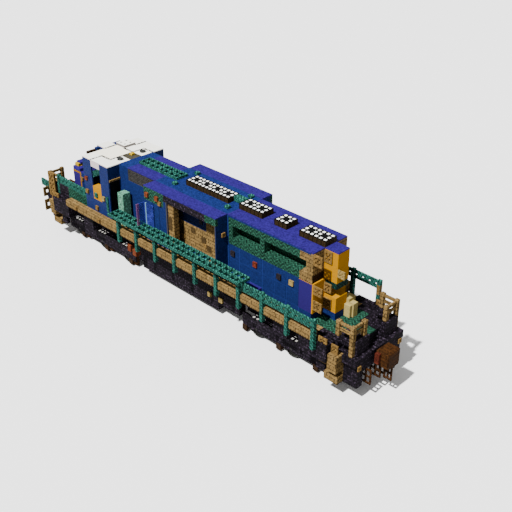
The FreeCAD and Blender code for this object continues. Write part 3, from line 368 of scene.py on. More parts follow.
def roof_skin(surface):
    """Blue sheets with purple edges and a purple tail."""
    blue, purple = sheet(surface, ROOF_BLUE, 0.4), sheet(surface, PURPLE, 0.36)
    room_edge = surface.zone(along=(-7, 0), off=(1.5, BEYOND))
    link_edge = surface.zone(along=(-10, -7), off=(0.5, 2))
    return lay(blue, room_edge | link_edge | (surface.along > 0.0), purple)


def panel_lines(surface, colour, under, strength=1.9):
    """Fine bright joints between sheets one module wide."""
    upright = ((surface.along * SQUARES) % SQUARES < 0.7) * surface.sideward
    level = ((surface.up * SQUARES) % SQUARES < 0.5) * surface.sideward
    lined = lay(under, level, tint(colour, (1 + strength) / 2))
    return lay(lined, upright, tint(colour, strength))


def corner_boards(surface):
    """Boards round the hood's rear corners, with one dark stripe of painted shade."""
    shade_stripe = surface.endward * surface.up.between(-2.0, -1.5)
    # painted shade: dark brown boards across the end faces from -2 to -1.5 up
    return lay(boards(surface), shade_stripe, boards(surface, darker(BROWN, 0.6)))


def hood_side(surface):
    """Blue panels, then a violet one under a dashed yellow line, and boards on the end."""
    side = panel_lines(surface, BLUE, sheet(surface, BLUE, 0.2))
    last_panel = surface.zone(along=(6, 7.02), up=(-4, -2)) * surface.sideward
    side = lay(side, last_panel, sheet(surface, VIOLET, 0.04))
    trim = surface.zone(along=(6, 7.02), up=(-2.07, -2.0)) * surface.sideward
    side = lay(side, trim * ((surface.along * 8) % 1.0 < 0.6), tint(YELLOW))
    end = surface.zone(along=(6.84, 7.1), off=(0.5, 1.6), up=(-2, 0.1)) * (1 - surface.flat)
    return lay(side, end, corner_boards(surface))


def link_side(surface):
    """Blue sheet with a fine wire grille under the roof."""
    holes = (surface.level() % 2.0 < 1.0) * (surface.run() % 2.0 < 1.0)
    wires = lay(sheet(surface, STEEL, 0.5), holes, tint(BLACK))
    grille = surface.zone(along=(-10, -7), up=(-0.94, -0.05)) * surface.sideward
    return lay(sheet(surface, BLUE, 0.25), grille, wires)


print("roof and hood finishes ready")

# %% Engine room
def engine_room_side(surface):
    """Blue wall with seams, mesh and masonry over the open bay, and bright rims round it."""
    outer = surface.zone(along=(-8, 1), off=(2.3, BEYOND))
    seams = surface.along.between(-6.03, -5.97) | surface.along.between(-5.5, -5.44)
    wall = lay(sheet(surface, BLUE, 0.25), seams * outer, tint(BLUE, 0.4))
    mesh = (surface.zone(along=(-7.1, -5), up=(-1, 0))
            | surface.zone(along=(-1, 0.1), up=(-0.55, 0)))
    wall = lay(wall, mesh * outer, mesh_strokes(surface))
    masonry = surface.zone(along=(-5, -1), up=(-0.55, 0))
    wall = lay(wall, masonry * outer, courses(surface))
    rims = (surface.zone(along=(-4.75, -4.66), up=(-4, -0.5))
            | surface.zone(along=(-0.12, -0.04), up=(-4, -0.5)))
    return lay(wall, rims * surface.sideward * outer, tint(STEEL, 1.4))


def engine_faces(surface):
    """Boarded engine, with painted light making it paler in front, and a blue sill."""
    # painted light: the boards ahead of along -4.9 are paler, as if lit through the bay
    boarded = lay(boards(surface), surface.along < -4.9, boards(surface, PAINTED_LIGHT_TAN))
    sill = surface.zone(along=(-4.5, -2), up=(-4.6, -3.66)) * surface.sideward
    return lay(boarded, sill, sheet(surface, BLUE, 0.25))


print("engine room and engine finishes ready")

# %% Tail and nose
def tail_box(surface):
    """Yellow end column on a dark copper plate, over a blue foot."""
    plate = surface.up.between(-2.4, -2.0) * (surface.along > 7.12)
    column = lay(sheet(surface, YELLOW, 0.03), plate, weathered(surface, darker(TEAL, 0.55)))
    column = lay(column, surface.up < -4.0, sheet(surface, BLUE, 0.3))
    return lay(column, surface.flat * (surface.up > -0.1), sheet(surface, PURPLE, 0.2))


def nose_side(surface):
    """Blue nose with a violet lower panel, dashed edge strips and a purple and mesh top."""
    panel = surface.zone(along=(-18, -16), up=(-4.5, -2.2)) * surface.sideward
    side = lay(sheet(surface, BLUE, 0.25), panel, sheet(surface, VIOLET, 0.04))
    strips = (surface.zone(along=(-17.2, -16), up=(-2.36, -2.2))
              | surface.zone(along=(-16.16, -16.0), up=(-4.5, -2.2))) * surface.sideward
    dashes = ((surface.along + surface.up) * 8) % 1.0 < 0.62
    side = lay(lay(side, strips, tint(BLACK)), strips * dashes, tint(YELLOW, 0.9))
    side = lay(side, surface.upward, sheet(surface, PURPLE, 0.2))
    return lay(side, surface.upward * (surface.along > -15.6), mesh_strokes(surface, TEAL))


def nose_guard(surface):
    """Mesh walls beside the nose, masonry at their front end."""
    return lay(mesh_strokes(surface), surface.along < -17.0, courses(surface))


print("tail and nose finishes ready")

# %% Cab roof
ROOF_JOINTS = [                         # span along, span across
    ((-13, -13), (-1, 0)), ((-13, -12), (0, 0)), ((-12, -12), (0, 3)), ((-13, -12), (2, 2)),
    ((-13, -13), (3, 4)), ((-12, -11), (3, 3)), ((-14, -14), (1, 2)),
]
JOINT_HALF = 0.09                       # half the width of a roof joint, in modules


def white_roof(surface):
    """White roof sheets with a warm middle, dotted joints, a dark patch, knobs and a vent."""
    middle = surface.along.between(-14, -12) * surface.across.between(0, 2)
    skin = lay(sheet(surface, WHITE, 0.04), middle, tint(WARM_WHITE))
    dots = (surface.speckle() < 0.85) * surface.upward * (surface.up < 0.01)
    for along, across in ROOF_JOINTS:
        line = (surface.along.between(along[0] - JOINT_HALF, along[1] + JOINT_HALF)
                * surface.across.between(across[0] - JOINT_HALF, across[1] + JOINT_HALF))
        skin = lay(skin, line * dots, tint(STEEL, 0.35))
    patch = surface.zone(along=(-12, -11), up=(-0.05, 1)) * surface.across.between(1, 2)
    skin = lay(skin, patch * surface.upward, sheet(surface, OLIVE, 0.45))
    knobs = surface.along.between(-11.8, -11.2) * (surface.up > 0.01)
    skin = lay(skin, knobs, sheet(surface, KNOB_GREY, 0.4))
    vent = (surface.along < -12.5) * (surface.up > 0.005) * (1 - surface.flat)
    skin = lay(skin, vent, sheet(surface, VENT_GREY, 0.15))
    holes = ((surface.along + 13.5).size().between(0.17, 0.31)
             * (surface.across - 2.5).size().between(0.17, 0.31) * (surface.up > 0.1))
    skin = lay(skin, holes, tint(STEEL, 0.5))
    header = surface.sideward * (surface.up < 0.0)
    return lay(skin, header, sheet(surface, HEADER_GREY, 0.06))


print(len(ROOF_JOINTS), "joints on the cab roof")

# %% Boxes with white squares, and the walkway
def small_squares(surface, low, high):
    """Squares on a grid of three to a module; low to high is the part of each that is marked."""
    place = [(axis * 3) % 1.0 for axis in (surface.along, surface.across)]
    return place[0].between(low, high) * place[1].between(low, high)


def fan_box(surface):
    """Wooden housings with nine-square white grids on top, the middle square left dark."""
    thirds = [(axis * 3).floor() for axis in (surface.along, surface.across)]
    hub = (thirds[0] % 3.0).between(0.5, 1.5) * (thirds[1] % 3.0).between(0.5, 1.5)
    squares = small_squares(surface, 0.26, 0.78) * (1 - hub)
    grid = lay(tint(BLACK), squares, tint(GRID_WHITE))
    slats = (surface.run() % 5.333 < 1.0) | (surface.level() > 5.28)
    wood = surface.tones(FAN_WOOD, (0.7, 1.0, 1.3), surface.speckle())
    return lay(lay(wood, slats, tint(FAN_WOOD, 0.35)), surface.upward, grid)


def spring_box(surface):
    """Dark housings whose tops carry small white squares."""
    squares = surface.upward * small_squares(surface, 0.25, 0.75)
    return lay(courses(surface), squares, tint(WHITE))


def walkway_boxes(surface):
    """A purple locker, a mint pillar and two cream boxes on one walkway."""
    blotches = surface.speckle() * 0.6 + surface.speckle(8) * 0.4
    pillar = surface.tones(MINT, (0.45, 0.8, 1.2, 1.9), blotches)
    boxes = lay(sheet(surface, PURPLE, 0.12), surface.along < 0.0, pillar)
    seam = (surface.level() % 8.0 < 0.6) * (surface.along > 7.0)
    boxes = lay(boxes, surface.along > 7.0, sheet(surface, CREAM, 0.1))
    return lay(boxes, seam, tint(CREAM, 0.7))


print("box and walkway finishes ready")

# %% [markdown]
# ## One material for each group of bodies
# A finish that only depends on place can be shared, so each is built once and given to every body
# that wears it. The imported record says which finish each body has; the bodies in the second table
# wear one of the zoned finishes instead. A CAD body keeps its mesh: only its material changes.
# The spring boxes sit in shade under the deck, where daylight reaches them from below on a real
# track. The floor here throws no light back, so their finish glows a little in its own colours.

# %% Making a finish
RELIEF = 0.004                          # height of the grain, in metres


def finished(name, colouring, relief=True, glow=0.0, **fixed):
    """Builds a material from a colouring; `glow` is the strength of its own light."""
    surface = Surface(name, **fixed)
    colour = colouring(surface)
    surface.wired(colour, "Base Color")
    if glow:
        surface.wired(colour, "Emission Color")
        surface.shader.inputs["Emission Strength"].default_value = glow
    if relief:
        grain = surface.speckle(seed=9.0)
        bump = grain.node("ShaderNodeBump", [("Height", grain), ("Distance", RELIEF)])
        surface.wired(bump, "Normal")
    return surface.material


def glazing(surface, colour=(120, 150, 170)):
    """Pale glass with a few brighter squares."""
    return lay(tint(colour), surface.speckle(8) < 0.15, tint(colour, 1.2))


print("finish maker ready")

# %% Plain finishes, by the record's names
FINISHES = {
    "blue_paint": finished("blue_paint", lambda s: sheet(s, BLUE), roughness=0.6),
    "purple_paint": finished("purple_paint", lambda s: sheet(s, PURPLE), roughness=0.6),
    "yellow_paint": finished("yellow_paint", lambda s: sheet(s, YELLOW, 0.03), roughness=0.6),
    "dark_leaf": finished("dark_leaf", lambda s: sheet(s, BLACK, 0.3), roughness=0.7),
    "teal_metal": finished("teal_metal", weathered),
    "green_grille": finished("green_grille", mesh_strokes),
    "tan_plank": finished("tan_plank", boards, roughness=0.85),
    "brown_casting": finished("brown_casting", lambda s: boards(s, BROWN, 0.35), roughness=0.8),
    "dark_brick": finished("dark_brick", courses, roughness=0.85),
    "steel": finished("steel", lambda s: sheet(s, WHEEL, 0.35), roughness=0.55, specular=0.15),
    "glass": finished("glass", glazing, relief=False, roughness=0.06, specular=0.5, Alpha=0.25),
}
print(f"{len(FINISHES)} plain finishes")

# %% Zoned finishes, and who wears what
SPRING_GLOW = 0.8
ZONED = {
    "roof_covers": roof_skin, "long_hood": hood_side, "link_hood": link_side,
    "engine_room": engine_room_side, "engine_bulkhead": lambda s: sheet(s, NAVY, 0.25),
    "tail_column": tail_box, "corner_planks": corner_boards, "short_nose": nose_side,
    "nose_walls": nose_guard, "cab_roof": white_roof, "roof_fan_boxes": fan_box,
    "spring_boxes_front": spring_box, "spring_boxes_rear": spring_box,
    "engine_block": engine_faces, "walkway_box": walkway_boxes,
}
wears = {entry["node"]: entry["material_slot"] for entry in frame["record"]["subparts"]}
for name, obj in nodes.items():
    zoned = ZONED.get(name) or (hood_side if name.startswith("hood_door") else None)
    glow = SPRING_GLOW if zoned is spring_box else 0.0
    finish = finished(name + "_finish", zoned, glow=glow) if zoned else FINISHES[wears[name]]
    obj.data.materials.clear()
    obj.data.materials.append(finish)
print(f"{len(nodes)} pieces finished, not found: {sorted(set(ZONED) - set(nodes))}")

# %% [markdown]
# ## Small square fittings
# Door latches, lamp bodies, filler caps and lifting knobs are all small blocks with worn edges and
# a shallow dish in the outer face. A mesh made in code suits them: `bmesh` makes a cube, places
# its corners by module counts, bevels every edge, and presses the outer face in a little. A bare
# cube would catch no light on its edges and look like a stand-in. Each finished piece rides on a
# body, so it moves when that body moves.

# %% One block
BEVEL = 0.015                           # metres
BEVEL_SHARE = 0.12                      # the most that a bevel takes of the thinnest side
DISH_RIM, DISH_DEPTH = 0.3, 0.2         # shares of the thinnest side too


def keep(name, mesh, finish, body):
    """Turns a finished mesh into a piece that rides on a body."""
    data = bpy.data.meshes.new(name)
    mesh.to_mesh(data)
    mesh.free()
    data.materials.append(finish)
    piece = bpy.data.objects.new(name, data)
    bpy.context.scene.collection.objects.link(piece)
    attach(piece, body)


def block(name, along, across, up, finish, slot, face=None, body="frame_and_body"):
    """A bevelled block; `face` is the outward direction of a dished face."""
    low, high = spot(along[0], across[0], up[0]), spot(along[1], across[1], up[1])
    size = high - low
    thinnest = min(size)
    mesh = bmesh.new()
    bmesh.ops.create_cube(mesh, size=1.0)
    for corner in mesh.verts:
        corner.co = low + Vector(side * (part + 0.5) for side, part in zip(size, corner.co))
    if face:
        outward = Vector(face)
        outer = max(mesh.faces, key=lambda side: side.normal.dot(outward))
        bmesh.ops.inset_region(mesh, faces=[outer], thickness=thinnest * DISH_RIM, depth=0.0)
        bmesh.ops.translate(mesh, verts=outer.verts, vec=outward * -DISH_DEPTH * thinnest)
    bmesh.ops.bevel(mesh, geom=list(mesh.edges), offset=min(BEVEL, thinnest * BEVEL_SHARE),
                    segments=1, affect="EDGES")
    keep(name, mesh, finish, body)


print("block maker ready, bevels of", BEVEL * 1000, "mm")

# %% [markdown]
# ## What the fittings wear
# Fittings share the finishes of the bodies where they can, and have a few of their own: old
# copper, rust, tan and pale wood, and dark iron. Each finish is listed with the material slot of
# the record that it stands nearest to, though no piece is given that slot.

# %% Finishes of the fittings
def plain_fitting(name, colour, spread):
    return finished(name, lambda s: sheet(s, colour, spread))


def trim_dashes(surface):
    """Short black and tan dashes."""
    return lay(tint(BLACK), (surface.run() / 2) % 1.0 < 0.6, tint((130, 104, 58)))


FITTING = {                             # finish, material slot
    "copper": (plain_fitting("copper_fitting", darker(COPPER, 0.8), 0.4), "brown_casting"),
    "rust": (plain_fitting("rust_fitting", (66, 27, 18), 0.45), "brown_casting"),
    "signal_red": (plain_fitting("signal_red_fitting", (92, 38, 24), 0.35), "brown_casting"),
    "tan": (plain_fitting("tan_fitting", (104, 80, 42), 0.5), "tan_plank"),
    "pale": (plain_fitting("pale_fitting", (132, 112, 64), 0.4), "tan_plank"),
    "dark": (plain_fitting("dark_fitting", (30, 26, 30), 0.4), "dark_brick"),
    # dark plates: the bay locker's hatch, and the engine's plates of painted shade
    "cover": (plain_fitting("hatch_and_shade_plate_fitting", (62, 48, 27), 0.3), "brown_wood"),
    "cream": (plain_fitting("cream_fitting", CREAM, 0.1), "purple_paint"),
    "yellow": (plain_fitting("lamp_yellow", LAMP_YELLOW, 0.35), "yellow_paint"),
    "brown": (finished("brown_fitting", lambda s: boards(s, (44, 30, 18), 0.4)), "brown_casting"),
    "trim": (finished("door_trim", trim_dashes, relief=False), "brown_casting"),
    "blue": (FINISHES["blue_paint"], "blue_paint"),
    "purple": (FINISHES["purple_paint"], "purple_paint"),
    "teal": (FINISHES["teal_metal"], "teal_metal"),
    "plank": (FINISHES["tan_plank"], "tan_plank"),
    "brick": (FINISHES["dark_brick"], "dark_brick"),
    "casting": (FINISHES["brown_casting"], "brown_casting"),
}
print(len(FITTING), "fitting finishes")

# %% [markdown]
# ## Fittings in mirrored pairs
# Most fittings stand on both sides. One row of a table gives the near one, and its mirror image
# about the centre line is the far one. Wall fittings are the simplest: small squares that stand a
# little proud of a wall and are sunk a hair into it, so that no gap shows.

# %% Mirror images
NEAR, FAR, REAR, TOP = (0, -1, 0), (0, 1, 0), (1, 0, 0), (0, 0, 1)
SIDES = {"near": NEAR, "far": FAR}      # and the direction that faces outward
HALF_WAY = -CORNER.x / MODULE           # the middle of the locomotive, in modules along


def mirrored(side, across):
    """A span across on the near side, or its mirror image on the far side."""
    return sorted(place if side == "near" else 2 * MIDDLE - place for place in across)


def at_end(end, along):
    """A span along at the rear end, or its mirror image at the front end."""
    return sorted(place if end == "rear" else 2 * HALF_WAY - place for place in along)


print("middle of the locomotive at", round(HALF_WAY, 2), "modules along")

# %% Wall fittings
WALL, HOOD = -1.0, 0.0                  # outer faces of the cab and of the long hood, across
KERB = -1.5                             # and of the kerb boards
PROUD, SUNK = 0.14, 0.02                # how far a fitting stands out and reaches in, in modules
WALL_FITTINGS = [                       # name, finish, along, wall, up, size
    ("cab_marker_lamp", "copper", -13.67, WALL, -1.61, 0.27),
    ("cab_hook_front", "tan", -13.69, WALL, -2.63, 0.3),
    ("cab_hook_rear", "tan", -12.65, WALL, -3.63, 0.3),
    ("cab_catch", "pale", -11.73, WALL, -2.60, 0.3),
    ("nose_hook", "tan", -15.81, HOOD, -2.67, 0.26),
    ("room_lamp_front", "copper", -6.64, WALL, -0.58, 0.32),
    ("room_lamp_rear", "copper", -5.62, WALL, -0.55, 0.32),
    ("room_hook", "tan", -5.32, WALL, -0.81, 0.26),
    ("kerb_cap_front", "tan", -14.74, KERB, -4.2, 0.3),
    ("kerb_cap_rear", "tan", -11.85, KERB, -4.22, 0.3),
    ("tank_cap_front", "pale", -1.77, HOOD, -6.58, 0.34),
    ("tank_cap_rear", "pale", -0.69, HOOD, -6.57, 0.34),
]


def wall_block(name, side, finish, along, wall, up, size, body="frame_and_body", proud=PROUD):
    """A dished square on a wall, on one side."""
    half = size / 2
    depth = mirrored(side, (wall - proud, wall + SUNK))
    block(f"{name}_{side}", (along - half, along + half), depth, (up - half, up + half),
          *FITTING[finish], SIDES[side], body)


for name, finish, along, wall, up, size in WALL_FITTINGS:
    for side in SIDES:
        wall_block(name, side, finish, along, wall, up, size)
print(len(WALL_FITTINGS), "pairs of wall fittings")

# %% [markdown]
# ## Latches on the hood doors
# A latch has to swing with its door, so it rides on the door's own body and not on the frame. Its
# place comes from the door's box.

# %% Door latches
LATCHES = {1: "dark", 3: "signal_red", 5: "dark", 6: "pale"}
LATCH_RISE, LATCH_SIZE, LATCH_PROUD = -2.57, 0.34, 0.12
LATCH_SHIFT = 0.06                      # forward of the middle of the door
for side in SIDES:
    for column, finish in LATCHES.items():
        door = f"hood_door_{side}_{column}"
        low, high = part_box(door)
        centre = ((low.x + high.x) / 2 - CORNER.x) / MODULE
        wall_block(f"latch_{column}", side, finish, centre - LATCH_SHIFT, HOOD, LATCH_RISE,
                   LATCH_SIZE, door, LATCH_PROUD)
print(len(SIDES) * len(LATCHES), "latches")

# %% [markdown]
# ## On the engine
# Dark plates and pale injector studs stand a little proud of the engine's boarded side, in a
# stepped row seen through the open bay on both sides. The dark plates are painted shade, where
# the steps of an engine casing would lie in shadow.

# %% Plates of painted shade, studs and pipe ends
ENGINE_PROUD = 0.05
ENGINE_FITTINGS = [                     # name, finish, size, places along and up
    # the dark plates are painted shade on the engine's boards
    ("cover", "cover", 0.4,
     [(-5.49, -3.16), (-4.27, -2.71), (-3.25, -2.35), (-2.25, -2.68), (-1.74, -3.15)]),
    ("stud", "tan", 0.28, [(-4.24, -3.1), (-2.16, -3.08)]),
    ("pipe_end", "dark", 0.3, [(-4.45, -1.54), (-2.48, -1.47)]),
]
for kind, finish, size, places in ENGINE_FITTINGS:
    for number, (along, up) in enumerate(places):
        for side in SIDES:
            wall_block(f"engine_{kind}_{number}", side, finish, along, HOOD, up, size,
                       proud=ENGINE_PROUD)
print(sum(len(places) for *_, places in ENGINE_FITTINGS), "pairs of engine fittings")

# %% [markdown]
# ## Pierced plates
# The end of the locomotive carries many thin plates, pierced like a small trellis: steps, brackets
# and hand holds. A plate is drawn as a few rows of text, one character for a bar and one for a
# hole. The faces that are bar are made in a plane and then pulled out to the plate's thickness, so
# no walls are left inside where two bars meet.

# %% Plate maker
TRELLIS = ("#####", "#.#.#", "##.##", "#.#.#", "#####")
LOOP = ("###", "#.#", "###")
SCREEN = TRELLIS[:-1] * 4 + TRELLIS[-1:]


def pierced(name, along, across, up, rows, finish):
    """A plate that fills a box; its thinnest side is pierced by the rows."""
    low, high = spot(along[0], across[0], up[0]), spot(along[1], across[1], up[1])
    size = high - low
    thin = min(range(3), key=lambda axis: size[axis])
    wide, tall = [axis for axis in range(3) if axis != thin]
    columns = len(rows[0])
    mesh = bmesh.new()
    made = {}

    def corner(column, row):
        if (column, row) not in made:
            place = low.copy()
            place[wide] += size[wide] * column / columns
            place[tall] += size[tall] * row / len(rows)
            made[column, row] = mesh.verts.new(place)
        return made[column, row]

    for row, line in enumerate(reversed(rows)):
        for column, mark in enumerate(line):
            if mark == "#":
                mesh.faces.new([corner(column, row), corner(column + 1, row),
                                corner(column + 1, row + 1), corner(column, row + 1)])
    pulled = bmesh.ops.extrude_face_region(mesh, geom=list(mesh.faces), use_keep_orig=True)["geom"]
    step = Vector((0, 0, 0))
    step[thin] = size[thin]
    bmesh.ops.translate(mesh, vec=step,
                        verts=[item for item in pulled if isinstance(item, bmesh.types.BMVert)])
    bmesh.ops.recalc_face_normals(mesh, faces=list(mesh.faces))
    material, slot = FITTING[finish]
    keep(name, mesh, material, "frame_and_body")


print("plate maker ready, screens of", len(SCREEN), "rows")

# %% Plates of the tail, on the near half only
PLATE = 0.08                            # thickness, in modules
TAIL_PLATES = [                         # name, finish, along, across, up
    ("tail_plate_top", "tan", (7.0, 7.65), 0.0, (-0.75, -0.05)),
    ("tail_plate_middle", "tan", (7.1, 7.75), 0.0, (-2.65, -2.05)),
    ("tail_plate_low", "tan", (7.1, 7.75), 0.0, (-3.7, -3.05)),
    ("column_plate_top", "tan", (7.02, 7.6), 0.92, (-0.85, -0.1)),
    ("column_plate_middle", "tan", (7.1, 7.65), 0.92, (-2.8, -2.2)),
    ("column_plate_low", "tan", (7.1, 7.7), 0.92, (-3.8, -3.2)),
    ("column_rear_plate", "pale", (8.0, 8.5), 1.0, (-1.55, -1.05)),
]
for name, finish, along, across, up in TAIL_PLATES:
    pierced(name, along, (across, across + PLATE), up, TRELLIS, finish)
print(len(TAIL_PLATES), "tail plates")

# %% Plates over the steps, at all four corners
STEP_PLATES = [                         # name, along at the rear end, across, up
    ("step_plate_upper", (8.62, 9.25), -1.2, (-4.8, -4.15)),
    ("step_plate_lower", (8.55, 9.36), -1.0, (-6.0, -5.4)),
    ("step_plate_inner", (9.42, 9.9), -1.0, (-5.0, -4.4)),
]
for name, along, across, up in STEP_PLATES:
    for end in ("rear", "front"):
        for side in SIDES:
            pierced(f"{name}_{end}_{side}", at_end(end, along),
                    mirrored(side, (across, across + PLATE)), up, TRELLIS, "tan")
print(4 * len(STEP_PLATES), "step plates")

# %% Screens and hand loops at the front end
FRONT_PLATES = [                        # name, along, across, up, rows
    ("front_screen", (-19.62, -18.78), (-0.72, -0.62), (-6.0, -3.0), SCREEN),
    ("pilot_loop_0", (-20.08, -20.0), (-1.05, -0.4), (-5.2, -4.44), LOOP),
    ("pilot_loop_1", (-20.08, -20.0), (-1.05, -0.4), (-6.4, -5.5), LOOP),
]
for name, along, across, up, rows in FRONT_PLATES:
    for side in SIDES:
        pierced(f"{name}_{side}", along, mirrored(side, across), up, rows, "tan")
print(len(FRONT_PLATES), "pairs of front plates")

# %% [markdown]
# ## Boxes, posts and lockers
# The rest are plain blocks: sand boxes and step pads beside the bogies, drain boxes on hangers
# under the deck, a locker in the engine bay, and single lamps, hatches and knobs on the roof.
# Tables keep them easy to read and to move. Each stands on the body it belongs to.

# %% Blocks in pairs
PAIRS = [                               # name, finish, along, across on the near side, up
    ("step_pad_rear", "plank", (9.36, 10.02), (-1.24, -0.55), (-5.52, -5.0)),
    ("step_pad_front", "plank", (-19.02, -18.36), (-1.24, -0.55), (-5.52, -5.0)),
    ("end_box_rear", "brick", (7.2, 9.3), (-1.3, -0.55), (-5.7, -4.5)),
    ("end_box_front", "brick", (-18.3, -16.2), (-1.3, -0.55), (-5.7, -4.5)),
    ("end_box_low_rear", "brick", (8.3, 8.95), (-0.9, -0.6), (-6.7, -5.6)),
    ("end_box_low_front", "brick", (-17.95, -17.3), (-0.9, -0.6), (-6.7, -5.6)),
    ("tank_end_box", "brick", (-0.5, 1.0), (0.0, 0.6), (-7.05, -6.0)),
    ("bay_locker", "plank", (-5.0, -4.12), (-0.9, -0.45), (-4.45, -0.56)),
    ("bay_locker_hatch", "cover", (-4.82, -4.3), (-0.93, -0.88), (-2.4, -1.5)),
    ("cab_side_post", "teal", (-11.38, -11.18), (-1.1, -0.98), (-3.48, -2.34)),
    ("cab_door_rim", "trim", (-11.0, -10.93), (-0.95, 0.0), (-1.14, -1.0)),
    ("drain_box_0", "copper", (-9.5, -9.1), (-0.95, -0.5), (-5.95, -5.4)),
    ("drain_hanger_0", "dark", (-9.4, -9.2), (-0.8, -0.6), (-5.45, -4.5)),
    ("drain_box_1", "copper", (-8.9, -8.5), (-0.95, -0.5), (-6.1, -5.6)),
    ("drain_hanger_1", "dark", (-8.8, -8.6), (-0.8, -0.6), (-5.65, -4.5)),
]
for side, outward in SIDES.items():
    for name, finish, along, across, up in PAIRS:
        block(f"{name}_{side}", along, mirrored(side, across), up, *FITTING[finish])
    block(f"tail_nub_{side}", (11.0, 11.08), mirrored(side, (-0.54, -0.26)), (-5.76, -5.46),
          *FITTING["tan"], REAR)
    block(f"cab_side_light_{side}", (-12.8, -12.46), mirrored(side, (-1.1, -0.98)),
          (-2.8, -2.46), *FITTING["teal"], outward)
print(len(PAIRS) + 2, "pairs of blocks")

# %% Single blocks
SINGLES = [                             # name, finish, along, across, up, dished face
    ("roof_knob_front_near", "teal", (-5.73, -5.41), (0.37, 0.69), (0.0, 0.2), TOP),
    ("roof_knob_front_far", "teal", (-5.91, -5.59), (2.5, 2.82), (0.0, 0.2), TOP),
    ("roof_knob_rear_near", "teal", (-0.72, -0.40), (0.39, 0.71), (0.0, 0.2), TOP),
    ("roof_knob_rear_far", "teal", (-0.78, -0.46), (2.51, 2.83), (0.0, 0.2), TOP),
    ("lamp_side", "blue", (-14.6, -14.0), (2.0, 2.75), (-0.3, -0.02), None),
    ("horn_bar", "brown", (-15.0, -14.8), (0.0, 0.76), (-0.42, -0.22), None),
    ("horn_bracket", "blue", (-15.0, -14.7), (0.75, 1.02), (-0.5, -0.12), None),
    ("roof_latch", "yellow", (-11.78, -11.5), (1.5, 1.84), (0.0, 0.14), TOP),
    ("roof_hatch", "teal", (-1.0, -0.1), (1.5, 1.95), (0.0, 0.37), None),
    ("tail_locker", "cream", (8.0, 8.45), (1.78, 2.02), (-4.5, -3.65), None),
    ("rail_post_sleeve", "tan", (8.37, 8.63), (4.37, 4.63), (-4.0, -3.3), None),
    ("nose_cap", "purple", (-17.0, -16.1), (0.0, 1.0), (-2.2, -1.95), None),
    ("nose_lamp", "yellow", (-16.95, -16.45), (0.15, 0.65), (-1.95, -1.72), REAR),
    ("nose_lamp_hood", "purple", (-16.9, -16.35), (0.3, 0.85), (-1.72, -1.6), None),
    ("room_end_hook", "tan", (0.0, 0.1), (-0.54, -0.26), (-1.44, -1.16), REAR),
]
for name, finish, along, across, up, face in SINGLES:
    block(name, along, across, up, *FITTING[finish], face)
print(len(SINGLES), "single blocks")

# %% [markdown]
# ## On the bogies and couplers
# Sanding pipe ends hang under the bogie sides and turn with them, and each coupler head has a cast
# casing round it that swings with it. They ride on those bodies, not on the frame.

# %% Sanding pipe ends under the bogie sides
PIPE_PLACES = (1.5, 4.5, 7.55)          # along, at the rear bogie
for end in ("rear", "front"):
    for number, middle in enumerate(PIPE_PLACES):
        for side in SIDES:
            block(f"pipe_bogie_{end}_{number}_{side}", at_end(end, (middle - 0.2, middle + 0.2)),
                  mirrored(side, (-0.06, 0.12)), (-7.85, -7.42), *FITTING["brown"],
                  body=f"bogie_{end}")
print(4 * len(PIPE_PLACES), "pipe ends")

# %% Coupler casings
for end in ("rear", "front"):
    block(f"coupler_casing_{end}", at_end(end, (11.14, 11.98)), (MIDDLE - 0.57, MIDDLE + 0.57),
          (-5.92, -4.95), *FITTING["casting"], body=f"coupler_{end}")
block("coupler_lever", (11.2, 11.5), (MIDDLE - 0.8, MIDDLE - 0.56), (-5.7, -5.0),
      *FITTING["rust"], NEAR, "coupler_rear")
print("two coupler casings and a lever")

# %% [markdown]
# ## Tinted panes by the engine room
# Two clear sheets meet at the front corner of the engine room, one along the wall and one standing
# out from it on the walkway grate. Alpha makes them see-through; a rose edge and a bright joint
# tint parts of them.

# %% Panes
def tinted_panes(surface):
    """Deep blue sheet with a rose edge and a bright joint."""
    pane = surface.tones((42, 50, 128), (0.7, 1.0, 1.4), surface.speckle(4))
    pane = lay(pane, surface.across.between(-1.7, -1.5), tint((124, 72, 112)))
    return lay(pane, surface.along.between(-6.86, -6.76), tint((120, 168, 190)))


panes = finished("tinted_panes", tinted_panes, relief=False, roughness=0.5, Alpha=0.55)
grate_top = (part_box("side_rail_near")[1].z - CORNER.z) / MODULE
PANE_TOP = -1.22
WALL_FOOT = grate_top - 0.9             # the wall pane starts under the grate
for side in SIDES:
    block(f"standing_pane_{side}", (-7.05, -6.98), mirrored(side, (-1.68, -1.02)),
          (grate_top, PANE_TOP), panes, "glass")
    block(f"wall_pane_{side}", (-6.97, -6.02), mirrored(side, (-1.07, -0.99)),
          (WALL_FOOT, PANE_TOP), panes, "glass")
print("four panes, standing on the grate at", round(grate_top, 2))

# %% [markdown]
# ## Floor, light and camera
# A plain pale floor catches the shadow. One strong sun from above the near side models the faces,
# and a weak even sky keeps the shaded ends readable. The floor is kept out of the light that
# bounces, because a wide white floor would otherwise light the shaded faces from below.

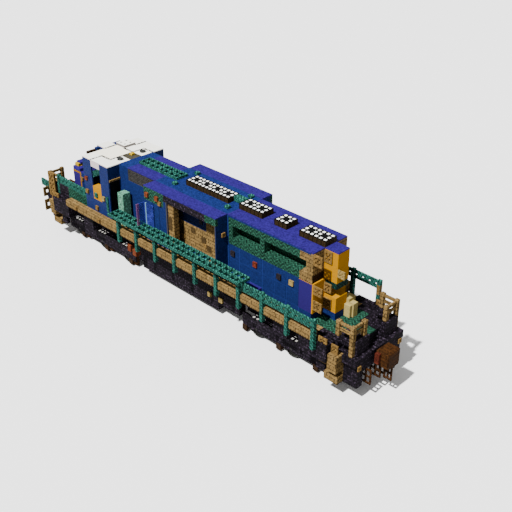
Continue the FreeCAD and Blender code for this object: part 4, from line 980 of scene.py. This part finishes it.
# %% Floor
FLOOR_SIDE = 400                        # metres
paint = bpy.data.materials.new("floor_paint")
paint.use_nodes = True
paint.node_tree.nodes["Principled BSDF"].inputs["Base Color"].default_value = (1, 1, 1, 1)
paint.node_tree.nodes["Principled BSDF"].inputs["Roughness"].default_value = 1.0
bpy.ops.mesh.primitive_plane_add(size=FLOOR_SIDE)
floor = bpy.context.object
floor.name = "floor"
floor.visible_diffuse = False
floor.data.materials.append(paint)
print("floor laid,", FLOOR_SIDE, "m square")

# %% Sky and sun
SKY_STRENGTH = 0.5
SUN_STRENGTH = 10.0
SUN_SPREAD = 2.0                        # degrees
TOWARDS_SUN = Vector((0.06, -0.72, 1.0)).normalized()

world = bpy.data.worlds.new("studio")
bpy.context.scene.world = world
world.use_nodes = True
sky = world.node_tree.nodes["Background"]
sky.inputs["Color"].default_value = (1, 1, 1, 1)
sky.inputs["Strength"].default_value = SKY_STRENGTH

sun = bpy.data.lights.new("sun", "SUN")
sun.energy = SUN_STRENGTH
sun.angle = math.radians(SUN_SPREAD)
sun_object = bpy.data.objects.new("sun", sun)
bpy.context.scene.collection.objects.link(sun_object)
sun_object.rotation_euler = TOWARDS_SUN.to_track_quat("Z", "Y").to_euler()
print("sun", SUN_STRENGTH, "and sky", SKY_STRENGTH)

# %% [markdown]
# ## Where the camera stands
# The camera looks down on the near side from behind the tail. Its matrix has three columns of
# direction, to the right, up and back from the subject, and a fourth with its place. A fairly long
# lens from well back keeps the locomotive's lines close to parallel.

# %% Camera
LENS = 56.08                            # millimetres
PLACE = (21.906, -18.759, 17.885)       # metres
RIGHT = Vector((0.70859, 0.70562, 0.0034)).normalized()
BACK = Vector((0.61261, -0.61757, 0.49327)).normalized()
ABOVE = BACK.cross(RIGHT).normalized()

camera_data = bpy.data.cameras.new("camera")
camera_data.lens = LENS
camera_data.clip_end = 500
camera = bpy.data.objects.new("camera", camera_data)
bpy.context.scene.collection.objects.link(camera)
camera.matrix_world = Matrix((*zip(RIGHT, ABOVE, BACK, PLACE), (0, 0, 0, 1)))
bpy.context.scene.camera = camera
print("camera at", tuple(round(v, 2) for v in camera.location))
